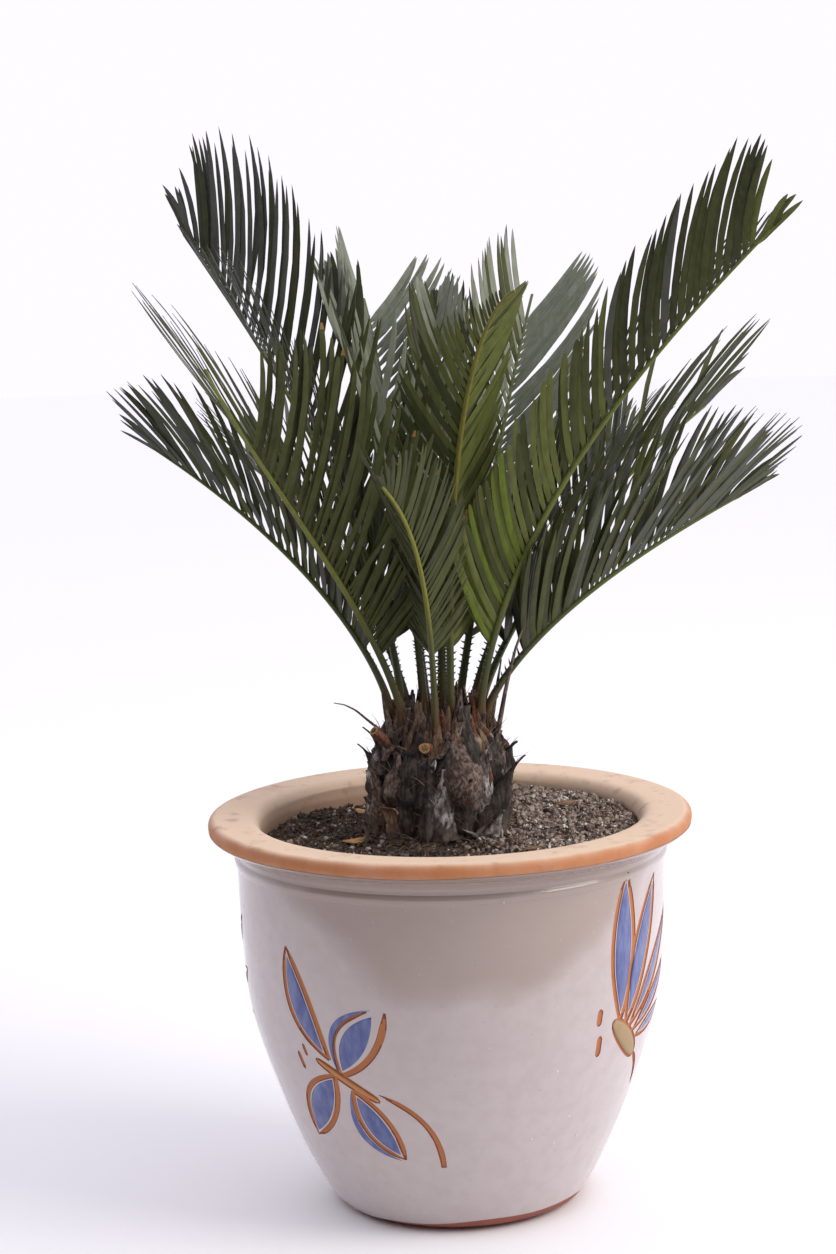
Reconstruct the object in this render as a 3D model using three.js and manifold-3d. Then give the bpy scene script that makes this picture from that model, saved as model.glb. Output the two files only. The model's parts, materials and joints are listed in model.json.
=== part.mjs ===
// Sago palm in a glazed garden pot: pot, soil, short scaly trunk and fourteen stiff feather fronds.
// Millimetres, +Z up. The middle of the pot's flat underside is the origin, and the front faces -Y.

import * as THREE from 'three';
import { mergeVertices } from 'three/addons/utils/BufferGeometryUtils.js';
import { ConvexGeometry } from 'three/addons/geometries/ConvexGeometry.js';
import Module from 'manifold-3d';

const wasm = await Module();
wasm.setup();

// Gap that two neighbouring pieces keep
const CLEARANCE = 0.3;

// Pot: outlines as [radius, height], from the foot up over the rim and down the inside
const POT_SIDES = 40;
const POT_HEIGHT = 328.5;
const FOOT_RADIUS = 94;
const BODY_OUTLINE = [
  [96, 2], [107, 10], [128, 50], [151.5, 110], [169, 170], [174.5, 230], [176, 285], [178, 300],
];
const BODY_STEPS = 10;
const RIM_OUTLINE = [[186, 309], [196, 315], [200, 322.5], [195.5, POT_HEIGHT]];
const LIP_OUTLINE = [[171, POT_HEIGHT], [161, 325], [156, 318]];
const WALL = 15;
const INNER_WALL_HEIGHTS = [60, 280];
const FLOOR_OUTLINE = [[100, 26], [88, 18]];

// Soil: filled to a little under the rim, flat where the trunk stands
const SOIL_LEVEL = 306;
const SOIL_OUTLINE = [[155.4, 303], [120, 302], [90, 305], [68, SOIL_LEVEL]];

// Trunk: core radii over the soil from the flare at its foot to the crown, and its lean to the right
const TRUNK_CENTRE = new THREE.Vector3(-9, 0, SOIL_LEVEL + CLEARANCE);
const TRUNK_HEIGHT = 102;
const TRUNK_LEAN = 3;
const TRUNK_SIDES = 14;
const TRUNK_OUTLINE = [
  [56, 0], [53, 8], [54, 34], [53, 58], [47, 76], [38, 90], [22, 99], [10, TRUNK_HEIGHT],
];

// Scales: old leaf bases set round the trunk in a spiral, longer towards the crown
const SCALE_COUNT = 30;
const GOLDEN_TURN = 137.508;
const SCALE_HEIGHTS = [4, 64];
const SCALE_LENGTHS = [36, 50];
const SCALE_WIDTH = 33;
const SCALE_BULGE = 5;
const SCALE_SUNK = 7;
const SCALE_FOOT = 10;
const TIP_FLARES = [6, 13];

// Stubs: cut frond stems that still stand on the trunk, with azimuth, height, rise and length
const STUB_RADIUS = 6.5;
const STUBS = [
  { azimuth: -58, height: 74, rise: 42, length: 24 },
  { azimuth: -12, height: 71, rise: 12, length: 15 },
  { azimuth: 82, height: 74, rise: 24, length: 13 },
  { azimuth: 150, height: 72, rise: 30, length: 20 },
  { azimuth: -108, height: 76, rise: 34, length: 20 },
];

// Fronds: azimuth of the root (0 is the front, 90 the right), swing of the rib to its tip,
// rise at root and tip, how late the rib bends over, its length, its seat's distance from the
// trunk's axis, the longest leaflet and the leaflets' angles to the rib, low down and at its tip
const FRONDS = [
  { azimuth: -98, swing: -14, rise: [84, 30], bend: 0.5, length: 300, seat: 42, leaf: 130, spread: [62, 20] },
  { azimuth: -60, swing: 36, rise: [87, 37], bend: 0.5, length: 392, seat: 42, leaf: 165, spread: [74, 30] },
  { azimuth: -119, swing: -30, rise: [88, 34], bend: 0.73, length: 487, seat: 40, leaf: 180, spread: [68, 30] },
  { azimuth: -147, swing: -10, rise: [84, 36], bend: 1.4, length: 400, seat: 24, leaf: 130, spread: [60, 24] },
  { azimuth: -168, swing: -8, rise: [71, 23], bend: 1.8, length: 419, seat: 42, leaf: 130, spread: [60, 24] },
  { azimuth: -5, swing: -13, rise: [86, 27], bend: 0.82, length: 267, seat: 42, leaf: 95, spread: [70, 26] },
  { azimuth: 22, swing: -6, rise: [87, 8], bend: 2.2, length: 430, seat: 24, leaf: 125, spread: [58, 26] },
  { azimuth: 174, swing: -10, rise: [82, 34], bend: 1.2, length: 400, seat: 22, leaf: 130, spread: [60, 24] },
  { azimuth: 157, swing: 7, rise: [62, 42], bend: 1.8, length: 411, seat: 40, leaf: 130, spread: [60, 24] },
  { azimuth: 69, swing: -38, rise: [88, 31], bend: 0.6, length: 484, seat: 36, leaf: 170, spread: [68, 30] },
  { azimuth: 122, swing: 9, rise: [75, 24], bend: 0.5, length: 394, seat: 40, leaf: 125, spread: [60, 20] },
  { azimuth: 98, swing: 24, rise: [78, 14], bend: 0.5, length: 310, seat: 44, leaf: 130, spread: [56, 18] },
  { azimuth: 140, swing: 10, rise: [76, 10], bend: 0.6, length: 350, seat: 44, leaf: 125, spread: [60, 22] },
  { azimuth: -142, swing: -10, rise: [76, 10], bend: 0.6, length: 350, seat: 44, leaf: 125, spread: [60, 22] },
];

// Rib of a frond: a three-sided stem that tapers from its root in the crown to its tip
const RIB_RADII = [5.6, 1.9];
const RIB_TAPER = 0.7;
const RIB_STEPS = 66;
const STEPS_PER_STATION = 6;
const SWING_DELAY = 1.5;
const ROOT_RADIUS = 7;
const ROOT_DEPTH = 36;

// Leaflets of a frond: two rows that rise from the rib like an open V, short at both ends
const LEAFLET_SPACING = 15;
const BARE_STEM = 60;
const LEAFLET_WIDTH = 10;
const LEAFLET_THICKNESS = 2;
const LEAFLET_WIDEST = 0.32;
const KEEL_ANGLE = 52;
const LENGTH_ARC = { start: 0.2, span: 0.7, delay: 1.3, fullness: 0.8 };
const SPREAD_DELAY = 0.8;
const LAST_LEAFLET = 0.995;
const SHORTEST_LEAFLET = 26;
const LEAFLET_TRIES = [
  { length: 1, turn: 0 }, { length: 1, turn: 6 }, { length: 1, turn: -6 }, { length: 0.8, turn: 0 },
  { length: 0.8, turn: 8 }, { length: 0.8, turn: -8 }, { length: 0.6, turn: 0 }, { length: 0.45, turn: 0 },
];

const UP = new THREE.Vector3(0, 0, 1);

function radians(degrees) {
  return THREE.MathUtils.degToRad(degrees);
}

function mix(start, end, share) {
  return start + (end - start) * share;
}

// Level direction at an azimuth, where 0 is the front and 90 the right
function outward(azimuth) {
  return new THREE.Vector3(Math.sin(radians(azimuth)), -Math.cos(radians(azimuth)), 0);
}

// Closed triangle mesh to solid
function toSolid(geometry) {
  const bare = geometry.index ? geometry.toNonIndexed() : geometry.clone();
  bare.deleteAttribute('normal');
  bare.deleteAttribute('uv');
  const welded = mergeVertices(bare, 1e-3);
  const index = welded.index.array;
  const corners = [];
  for (let i = 0; i < index.length; i += 3) {
    const [a, b, c] = index.slice(i, i + 3);
    if (a !== b && b !== c && c !== a) corners.push(a, b, c);
  }
  return new wasm.Manifold(new wasm.Mesh({
    numProp: 3,
    vertProperties: new Float32Array(welded.attributes.position.array),
    triVerts: new Uint32Array(corners),
  }));
}

function toGeometry(solid) {
  const mesh = solid.getMesh();
  const geometry = new THREE.BufferGeometry();
  geometry.setAttribute('position', new THREE.BufferAttribute(mesh.vertProperties, 3));
  geometry.setIndex(new THREE.BufferAttribute(mesh.triVerts, 1));
  geometry.computeVertexNormals();
  return geometry;
}

// The main body of a solid, without the scraps that a cut leaves loose
function mainBody(solid) {
  return solid.decompose().sort((a, b) => b.volume() - a.volume())[0];
}

// Solid of revolution about +Z from an outline of [radius, height] that starts and ends on the axis
function turned(outline, sides) {
  const points = outline.map(([radius, height]) => new THREE.Vector2(radius, height));
  return toSolid(new THREE.LatheGeometry(points, sides).rotateX(Math.PI / 2));
}

// Body of the pot from foot to neck, as a smooth curve
function bodyCurve() {
  const points = BODY_OUTLINE.map(([radius, height]) => new THREE.Vector2(radius, height));
  return new THREE.SplineCurve(points).getPoints(BODY_STEPS).map((point) => [point.x, point.y]);
}

// Inner wall from below the lip to the floor, one wall thickness inside the body, drawn in by a gap
function innerWall(gap) {
  const [lowest, highest] = INNER_WALL_HEIGHTS;
  const wall = bodyCurve()
    .filter(([, height]) => height > lowest && height < highest)
    .map(([radius, height]) => [radius - WALL, height])
    .reverse();
  return [...wall, ...FLOOR_OUTLINE].map(([radius, height]) => [radius - gap, height + gap]);
}

function makePot() {
  const floor = FLOOR_OUTLINE[FLOOR_OUTLINE.length - 1][1];
  return turned([
    [0, 0], [FOOT_RADIUS, 0], ...bodyCurve(), ...RIM_OUTLINE, ...LIP_OUTLINE, ...innerWall(0), [0, floor],
  ], POT_SIDES);
}

function makeSoil() {
  const wall = innerWall(CLEARANCE).reverse();
  return turned([[0, wall[0][1]], ...wall, ...SOIL_OUTLINE, [0, SOIL_LEVEL]], POT_SIDES);
}

// Core radius of the trunk at a height over the soil
function trunkRadius(height) {
  const above = TRUNK_OUTLINE.findIndex(([, top]) => top >= height);
  if (above < 1) return TRUNK_OUTLINE[0][0];
  const [lowRadius, low] = TRUNK_OUTLINE[above - 1];
  const [highRadius, high] = TRUNK_OUTLINE[above];
  return mix(lowRadius, highRadius, (height - low) / (high - low));
}

// Point at an azimuth, a distance from the trunk's leaning axis and a height over the soil
function trunkPoint(azimuth, distance, height) {
  const lean = new THREE.Vector3(TRUNK_LEAN * height / TRUNK_HEIGHT, 0, height);
  return outward(azimuth).multiplyScalar(distance).add(lean).add(TRUNK_CENTRE);
}

// One pointed leaf base: broad and sunk at its foot, bulging in the middle, its tip off the trunk
function makeScale(number) {
  const share = number / (SCALE_COUNT - 1);
  const azimuth = number * GOLDEN_TURN;
  const height = mix(...SCALE_HEIGHTS, share);
  const length = mix(...SCALE_LENGTHS, share) * (1 + 0.15 * Math.sin(number * 2.4));
  const radius = trunkRadius(height);
  const halfTurn = SCALE_WIDTH / 2 / radius * THREE.MathUtils.RAD2DEG;
  const flare = mix(...TIP_FLARES, Math.max(0, Math.sin(number * 1.7)));
  const tipRadius = trunkRadius(Math.min(height + length, TRUNK_HEIGHT - SCALE_FOOT));
  return toSolid(new ConvexGeometry([
    trunkPoint(azimuth - halfTurn, radius - 3, height + 2),
    trunkPoint(azimuth + halfTurn, radius - 3, height + 2),
    trunkPoint(azimuth, radius + 1, height - SCALE_FOOT),
    trunkPoint(azimuth, radius + SCALE_BULGE, height + length * 0.3),
    trunkPoint(azimuth, radius - SCALE_SUNK, height + length * 0.4),
    trunkPoint(azimuth + 2, tipRadius + flare, height + length),
  ]));
}

// One cut stem: a short six-sided peg that leaves the trunk with its own rise
function makeStub({ azimuth, height, rise, length }) {
  const direction = outward(azimuth).multiplyScalar(Math.cos(radians(rise)));
  direction.z = Math.sin(radians(rise));
  const reach = length + SCALE_SUNK;
  const root = trunkPoint(azimuth, trunkRadius(height) - SCALE_SUNK, height);
  const upright = new THREE.Vector3(0, 1, 0);
  return toSolid(new THREE.CylinderGeometry(STUB_RADIUS, STUB_RADIUS * 1.15, reach, 6)
    .translate(0, reach / 2, 0)
    .applyQuaternion(new THREE.Quaternion().setFromUnitVectors(upright, direction))
    .translate(root.x, root.y, root.z));
}

// Stations of a frond's rib from root to tip, each a place and its directions along, across, above
function ribStations(frond) {
  const place = trunkPoint(frond.azimuth, frond.seat, TRUNK_HEIGHT);
  const stations = [];
  for (let i = 0; i <= RIB_STEPS; i += 1) {
    const share = i / RIB_STEPS;
    const rise = radians(mix(...frond.rise, share ** frond.bend));
    const out = outward(frond.azimuth + frond.swing * share ** SWING_DELAY);
    const along = out.clone().multiplyScalar(Math.cos(rise)).addScaledVector(UP, Math.sin(rise));
    const across = new THREE.Vector3().crossVectors(out, UP);
    const above = new THREE.Vector3().crossVectors(across, along);
    if (i % STEPS_PER_STATION === 0) stations.push({ place: place.clone(), along, across, above });
    place.addScaledVector(along, frond.length / RIB_STEPS);
  }
  return stations;
}

// Frame on the straight stretch of the rib between two stations
function ribFrame(stations, share) {
  const position = share * (stations.length - 1);
  const low = Math.floor(position);
  const between = (key) => stations[low][key].clone().lerp(stations[low + 1][key], position - low);
  return {
    place: between('place'),
    along: between('along').normalize(),
    across: between('across').normalize(),
    above: between('above').normalize(),
  };
}

// Three corners of the rib's section, two above and one below, let down by a drop
function ribSection({ place, across, above }, radius, drop) {
  return [90, 210, 330].map((turn) => place.clone().addScaledVector(UP, -drop)
    .addScaledVector(across, radius * Math.cos(radians(turn)))
    .addScaledVector(above, -radius * Math.sin(radians(turn))));
}

// Sections of a rib from its root in the trunk to its tip, grown by a gap for the socket's cut
function ribSections(stations, gap) {
  const root = ribSection(stations[0], ROOT_RADIUS + 2 * gap, ROOT_DEPTH + gap);
  return [root, ...stations.map((station, i) => {
    const radius = mix(...RIB_RADII, (i / (stations.length - 1)) ** RIB_TAPER);
    return ribSection(station, radius + 2 * gap, 0);
  })];
}

// Closed skin over a row of three-cornered sections
function loft(sections) {
  const corners = [];
  const push = (...points) => points.forEach((point) => corners.push(...point.toArray()));
  for (let i = 1; i < sections.length; i += 1) {
    for (let k = 0; k < 3; k += 1) {
      const [a, b] = [sections[i - 1][k], sections[i - 1][(k + 1) % 3]];
      const [c, d] = [sections[i][k], sections[i][(k + 1) % 3]];
      push(a, b, c, b, d, c);
    }
  }
  const [first, last] = [sections[0], sections[sections.length - 1]];
  push(first[2], first[1], first[0], last[0], last[1], last[2]);
  const geometry = new THREE.BufferGeometry();
  return toSolid(geometry.setAttribute('position', new THREE.Float32BufferAttribute(corners, 3)));
}

// A convex body for the clearance test: its corners, box and the directions it is tested along
function convexBody(points, axes) {
  return {
    points,
    axes: axes.map((axis) => axis.normalize()),
    box: new THREE.Box3().setFromPoints(points).expandByScalar(CLEARANCE),
  };
}

// Gap between two convex bodies along a direction, below zero where their spans overlap
function gapAlong(axis, a, b) {
  const spanA = a.points.map((point) => point.dot(axis));
  const spanB = b.points.map((point) => point.dot(axis));
  return Math.max(Math.min(...spanB) - Math.max(...spanA), Math.min(...spanA) - Math.max(...spanB));
}

// Whether two convex bodies lie apart by the clearance along one of the tested directions
function liesApart(a, b) {
  if (!a.box.intersectsBox(b.box)) return true;
  const crosses = a.axes.flatMap((first) => b.axes.map((second) => first.clone().cross(second)));
  const axes = [...a.axes, ...b.axes, ...crosses.filter((axis) => axis.lengthSq() > 1e-4)];
  return axes.some((axis) => gapAlong(axis.normalize(), a, b) >= CLEARANCE);
}

// Convex stretches of a rib
function ribBodies(sections) {
  return sections.slice(1).map((section, i) => {
    const along = section[0].clone().sub(sections[i][0]);
    const sides = [0, 1, 2].map((k) => section[(k + 1) % 3].clone().sub(section[k]).cross(along));
    return convexBody([...sections[i], ...section], [along.clone(), ...sides]);
  });
}

// One leaflet of eight faces: rooted in the rib, widest low down, drawn out to a point
function leafletBody(frame, side, length, angle) {
  const lean = radians(angle);
  const rising = frame.across.clone().multiplyScalar(side * Math.cos(radians(KEEL_ANGLE)))
    .addScaledVector(frame.above, Math.sin(radians(KEEL_ANGLE)));
  const along = frame.along.clone().multiplyScalar(Math.cos(lean)).addScaledVector(rising, Math.sin(lean));
  const flat = rising.multiplyScalar(Math.cos(lean)).addScaledVector(frame.along, -Math.sin(lean));
  const face = new THREE.Vector3().crossVectors(along, flat);
  const middle = frame.place.clone().addScaledVector(along, length * LEAFLET_WIDEST);
  const points = [
    frame.place.clone(),
    frame.place.clone().addScaledVector(along, length),
    middle.clone().addScaledVector(flat, LEAFLET_WIDTH / 2),
    middle.clone().addScaledVector(flat, -LEAFLET_WIDTH / 2),
    middle.clone().addScaledVector(face, LEAFLET_THICKNESS / 2),
    middle.clone().addScaledVector(face, -LEAFLET_THICKNESS / 2),
  ];
  return convexBody(points, [along, flat, face]);
}

// Places on a frond where a pair of leaflets grows, with their length and angle to the rib
function leafletPlaces(frond) {
  const count = Math.round((frond.length - BARE_STEM) / LEAFLET_SPACING);
  const { start, span, delay, fullness } = LENGTH_ARC;
  return Array.from({ length: count }, (_, i) => {
    const share = (i + 0.5) / count;
    return {
      station: mix(BARE_STEM / frond.length, LAST_LEAFLET, share),
      length: frond.leaf * Math.sin(Math.PI * (start + span * share ** delay)) ** fullness,
      angle: mix(...frond.spread, share ** SPREAD_DELAY),
    };
  });
}

// The first form of a leaflet, turned or shortened, that keeps clear of the other fronds
function fitLeaflet(frond, place, side, others) {
  const frame = ribFrame(frond.stations, place.station);
  return LEAFLET_TRIES
    .filter((form) => place.length * form.length >= SHORTEST_LEAFLET)
    .map((form) => () => leafletBody(frame, side, place.length * form.length, place.angle + form.turn))
    .reduce((found, grow) => {
      if (found) return found;
      const body = grow();
      return others.every((other) => liesApart(body, other)) ? body : null;
    }, null);
}

// Grows every frond's leaflets by turns, so that no frond takes all the room
function growLeaflets(fronds) {
  const rows = Math.max(...fronds.map((frond) => frond.places.length));
  for (let row = 0; row < rows; row += 1) {
    for (const frond of fronds.filter((candidate) => row < candidate.places.length)) {
      const others = fronds.filter((other) => other !== frond)
        .flatMap((other) => [...other.rib, ...other.leaflets]);
      for (const side of [-1, 1]) {
        const body = fitLeaflet(frond, frond.places[row], side, others);
        if (body) frond.leaflets.push(body);
      }
    }
  }
}

function makeFrond(frond) {
  const leaflets = frond.leaflets.map((body) => toSolid(new ConvexGeometry(body.points)));
  return wasm.Manifold.union([loft(frond.sections), ...leaflets]);
}

function makeTrunk(fronds) {
  const slant = [1, 0, 0, 0, 0, 1, 0, 0, TRUNK_LEAN / TRUNK_HEIGHT, 0, 1, 0, ...TRUNK_CENTRE.toArray(), 1];
  const core = turned([[0, 0], ...TRUNK_OUTLINE, [0, TRUNK_HEIGHT]], TRUNK_SIDES).transform(slant);
  const scales = Array.from({ length: SCALE_COUNT }, (_, number) => makeScale(number));
  const whole = wasm.Manifold.union([core, ...scales, ...STUBS.map(makeStub)]);
  const sockets = wasm.Manifold.union(fronds.map((frond) => loft(ribSections(frond.stations, CLEARANCE))));
  return mainBody(whole.subtract(sockets).trimByPlane([0, 0, 1], TRUNK_CENTRE.z));
}

function addPiece(group, name, solid, color, roughness) {
  const material = new THREE.MeshStandardMaterial({ color, roughness, metalness: 0 });
  const mesh = new THREE.Mesh(toGeometry(solid), material);
  mesh.name = name;
  group.add(mesh);
}

const fronds = FRONDS.map((sizes) => {
  const stations = ribStations(sizes);
  const sections = ribSections(stations, 0);
  return { stations, sections, rib: ribBodies(sections), places: leafletPlaces(sizes), leaflets: [] };
});
growLeaflets(fronds);

const palm = new THREE.Group();
addPiece(palm, 'pot', makePot(), 0xc4b5ab, 0.3);
addPiece(palm, 'soil', makeSoil(), 0x4a3a30, 0.95);
addPiece(palm, 'trunk', makeTrunk(fronds), 0x3a2c24, 0.9);
fronds.forEach((frond, i) => {
  addPiece(palm, `frond_${String(i + 1).padStart(2, '0')}`, makeFrond(frond), 0x3b4a24, 0.5);
});

export default palm;
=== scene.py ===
"""Potted sago palm: the finished looks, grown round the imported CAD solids.

Places and sizes are in millimetres until a mesh is finished; there they become Blender's metres.
The middle of the pot's flat underside is the origin, +Z is up and the front faces -Y.
"""

import json
import logging
import math
from collections.abc import Callable, Mapping, Sequence
from dataclasses import dataclass, field
from enum import Enum
from typing import Any

import bmesh
import bpy
import numpy as np
from mathutils import Matrix, Vector, noise

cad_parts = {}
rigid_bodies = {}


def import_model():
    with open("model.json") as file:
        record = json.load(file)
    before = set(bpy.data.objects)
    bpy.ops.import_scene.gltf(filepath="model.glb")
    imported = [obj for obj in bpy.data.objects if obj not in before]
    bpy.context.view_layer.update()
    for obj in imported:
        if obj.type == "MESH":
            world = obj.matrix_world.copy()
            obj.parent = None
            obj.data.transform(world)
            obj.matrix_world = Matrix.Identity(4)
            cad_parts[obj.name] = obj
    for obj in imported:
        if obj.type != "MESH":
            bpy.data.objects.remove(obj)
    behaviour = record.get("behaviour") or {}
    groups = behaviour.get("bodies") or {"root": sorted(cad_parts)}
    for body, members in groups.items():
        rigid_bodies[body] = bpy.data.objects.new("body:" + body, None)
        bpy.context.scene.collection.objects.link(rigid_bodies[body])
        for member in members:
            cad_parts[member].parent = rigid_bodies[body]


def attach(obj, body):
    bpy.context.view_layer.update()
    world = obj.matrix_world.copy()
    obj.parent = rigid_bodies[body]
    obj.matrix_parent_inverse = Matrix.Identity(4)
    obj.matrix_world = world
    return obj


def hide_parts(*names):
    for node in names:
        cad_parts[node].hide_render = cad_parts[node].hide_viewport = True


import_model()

log = logging.getLogger("sago_palm")

MM = 0.001
BODY = "root"
GOLDEN_TURN = 137.508
UP = np.array([0.0, 0.0, 1.0])

Point = tuple[float, float]


class Slot(Enum):
    """The record's material slots."""

    POT = "glazed_pot"
    SOIL = "potting_soil"
    TRUNK = "palm_trunk"
    FRONDS = "palm_fronds"


# Small helpers for numbers and curves


def mix(start: float, end: float, share: float) -> float:
    """Returns the value a share of the way from start to end."""
    return start + (end - start) * share


def smooth(share: float) -> float:
    """Returns a share eased at both ends, kept between 0 and 1."""
    held = min(1.0, max(0.0, share))
    return held * held * (3 - 2 * held)


def outward(azimuth: float) -> np.ndarray:
    """Returns the level direction at an azimuth in degrees, where 0 is the front and 90 the right."""
    turn = math.radians(azimuth)
    return np.array([math.sin(turn), -math.cos(turn), 0.0])


def azimuth_of(x: float, y: float) -> float:
    """Returns the azimuth in degrees of a place round the upright axis."""
    return math.degrees(math.atan2(x, -y))


def oval(sides: int, wide: np.ndarray, high: np.ndarray) -> np.ndarray:
    """Returns points round an oval about zero, with wide and high as its half axes."""
    turns = np.arange(sides) * 2 * math.pi / sides
    return np.outer(np.cos(turns), wide) + np.outer(np.sin(turns), high)


def unit(vectors: np.ndarray) -> np.ndarray:
    """Returns vectors scaled to length one, along the last axis."""
    return vectors / np.linalg.norm(vectors, axis=-1, keepdims=True)


def spline(points: Sequence[Point], steps: int) -> list[Point]:
    """Draws a smooth curve through points.

    Args:
        points: The points that the curve passes through.
        steps: Steps between one point and the next.

    Returns:
        The curve's points, first and last ones included.
    """
    given = [np.array(p, float) for p in points]
    ends = [2 * given[0] - given[1], *given, 2 * given[-1] - given[-2]]
    curve: list[Point] = []
    for a, b, c, d in zip(ends, ends[1:], ends[2:], ends[3:]):
        for step in range(steps):
            t = step / steps
            p = 0.5 * (2 * b + (c - a) * t + (2 * a - 5 * b + 4 * c - d) * t * t
                       + (3 * b - a - 3 * c + d) * t ** 3)
            curve.append((float(p[0]), float(p[1])))
    return [*curve, (float(given[-1][0]), float(given[-1][1]))]


def roughly(point: Sequence[float], size: float, seed: float = 0.0) -> float:
    """Returns smooth noise from -1 to 1 at a point in millimetres, for lumps of about that size."""
    return noise.noise(Vector(point) / size + Vector((seed, seed * 1.7, -seed)))


# Small helpers for meshes and pieces


def finish_mesh(bm: bmesh.types.BMesh, name: str, weld: float = 0.01) -> bpy.types.Mesh:
    """Closes a bmesh in millimetres and turns it into a smooth mesh in metres.

    Args:
        bm: The shape, which is freed.
        name: Name of the mesh.
        weld: Corners closer than this, in millimetres, become one.

    Returns:
        The mesh, its faces pointing outwards.
    """
    bmesh.ops.remove_doubles(bm, verts=bm.verts, dist=weld)
    bmesh.ops.recalc_face_normals(bm, faces=bm.faces)
    bmesh.ops.scale(bm, vec=(MM, MM, MM), verts=bm.verts)
    for face in bm.faces:
        face.smooth = True
    mesh = bpy.data.meshes.new(name)
    bm.to_mesh(mesh)
    bm.free()
    return mesh


def spun(outline: Sequence[Point], steps: int) -> bmesh.types.BMesh:
    """Returns a half section of radius and height spun round the upright axis in some steps."""
    bm = bmesh.new()
    verts = [bm.verts.new((0, -radius, height)) for radius, height in outline]
    edges = [bm.edges.new(pair) for pair in zip(verts, verts[1:])]
    bmesh.ops.spin(bm, geom=[*verts, *edges], cent=(0, 0, 0), axis=(0, 0, 1), angle=2 * math.pi,
                   steps=steps, use_merge=True)
    bmesh.ops.remove_doubles(bm, verts=bm.verts, dist=0.02)
    return bm


def faces_at(verts: Sequence[bmesh.types.BMVert], kind: int) -> list[bmesh.types.BMFace]:
    """Returns the faces that meet at some corners, once they have the finish of that kind."""
    faces = list({face for vert in verts for face in vert.link_faces})
    for face in faces:
        face.material_index = kind
    return faces


def extruded(bm: bmesh.types.BMesh, faces: Sequence[bmesh.types.BMFace]) -> list[bmesh.types.BMVert]:
    """Extrudes faces where they lie and returns the new corners, which are to be moved."""
    grown = bmesh.ops.extrude_face_region(bm, geom=faces)["geom"]
    return [v for v in grown if isinstance(v, bmesh.types.BMVert)]


def tube(bm: bmesh.types.BMesh, rings: Sequence[np.ndarray]) -> None:
    """Draws a closed skin from ring to ring by extruding the first ring's edges.

    Args:
        bm: The bmesh that the skin is added to.
        rings: Rings of the same number of points, in millimetres.
    """
    verts = [bm.verts.new(point) for point in rings[0]]
    edges = [bm.edges.new((a, b)) for a, b in zip(verts, verts[1:] + verts[:1])]
    first = verts
    for ring in rings[1:]:
        grown = bmesh.ops.extrude_edge_only(bm, edges=edges)["geom"]
        by_place = {tuple(v.co): v for v in grown if isinstance(v, bmesh.types.BMVert)}
        edges = [e for e in grown if isinstance(e, bmesh.types.BMEdge)
                 and all(v in by_place.values() for v in e.verts)]
        verts = [by_place[tuple(v.co)] for v in verts]
        for vert, place in zip(verts, ring):
            vert.co = place
    for end in (first, verts):
        bmesh.ops.contextual_create(bm, geom=end)


def round_rings(path: np.ndarray, radii: Sequence[float], sides: int,
                face: np.ndarray | None = None) -> list[np.ndarray]:
    """Sets a ring of points square to a path at each of its points.

    Args:
        path: The path's points.
        radii: A radius for each point.
        sides: Points in a ring.
        face: The direction that the rings' first corners are turned by, +Y if none is given.

    Returns:
        One array of points for each ring.
    """
    tangents = unit(np.gradient(path, axis=0))
    rings = []
    for point, tangent, radius in zip(path, tangents, radii):
        high = np.array([0.0, 1.0, 0.0]) if face is None else face
        high = unit(high - tangent * (high @ tangent))
        rings.append(point + radius * oval(sides, np.cross(tangent, high), high))
    return rings


def joined_copies(name: str, template: bpy.types.Mesh, places: np.ndarray,
                  finish_of_copy: np.ndarray | None = None, turns_sharp: float = 50.0) -> bpy.types.Mesh:
    """Joins many shaped copies of one small mesh.

    Args:
        name: Name of the joined mesh.
        template: The small mesh, whose faces and material indices are repeated.
        places: Every copy's corners in millimetres, as copies x corners x 3.
        finish_of_copy: Numbers added to the faces' material indices, one a copy or one a face of each copy.
        turns_sharp: Edges that turn by more than this many degrees are shaded sharp.

    Returns:
        The joined mesh, in metres.
    """
    copies, corners = places.shape[:2]
    loop_verts = np.zeros(len(template.loops), np.int32)
    template.loops.foreach_get("vertex_index", loop_verts)
    starts = np.zeros(len(template.polygons), np.int32)
    template.polygons.foreach_get("loop_start", starts)
    kinds = np.zeros(len(template.polygons), np.int32)
    template.polygons.foreach_get("material_index", kinds)
    added = np.zeros(copies) if finish_of_copy is None else finish_of_copy
    added = added[:, None] if added.ndim == 1 else added
    row = np.arange(copies)[:, None]
    mesh = bpy.data.meshes.new(name)
    mesh.vertices.add(copies * corners)
    mesh.vertices.foreach_set("co", (places * MM).astype(np.float32).ravel())
    mesh.loops.add(copies * len(loop_verts))
    mesh.loops.foreach_set("vertex_index", (loop_verts + row * corners).astype(np.int32).ravel())
    mesh.polygons.add(copies * len(starts))
    mesh.polygons.foreach_set("loop_start", (starts + row * len(loop_verts)).astype(np.int32).ravel())
    mesh.polygons.foreach_set("material_index", (kinds + added).astype(np.int32).ravel())
    mesh.polygons.foreach_set("use_smooth", np.ones(copies * len(starts), bool))
    mesh.update(calc_edges=True)
    mesh.set_sharp_from_angle(angle=math.radians(turns_sharp))
    return mesh


def template_mesh(bm: bmesh.types.BMesh, name: str) -> bpy.types.Mesh:
    """Turns a bmesh into a small mesh for joined_copies, with its normals made to point outwards."""
    bmesh.ops.recalc_face_normals(bm, faces=bm.faces)
    mesh = bpy.data.meshes.new(name)
    bm.to_mesh(mesh)
    bm.free()
    return mesh


def corners_of(mesh: bpy.types.Mesh) -> np.ndarray:
    """Returns a mesh's corners as an array of corners x 3."""
    flat = np.zeros(len(mesh.vertices) * 3, np.float32)
    mesh.vertices.foreach_get("co", flat)
    return flat.reshape(-1, 3).astype(float)


def put(name: str, data: bpy.types.ID) -> bpy.types.Object:
    """Puts an object with some data in the scene and returns it."""
    made = bpy.data.objects.new(name, data)
    bpy.context.scene.collection.objects.link(made)
    return made


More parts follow.
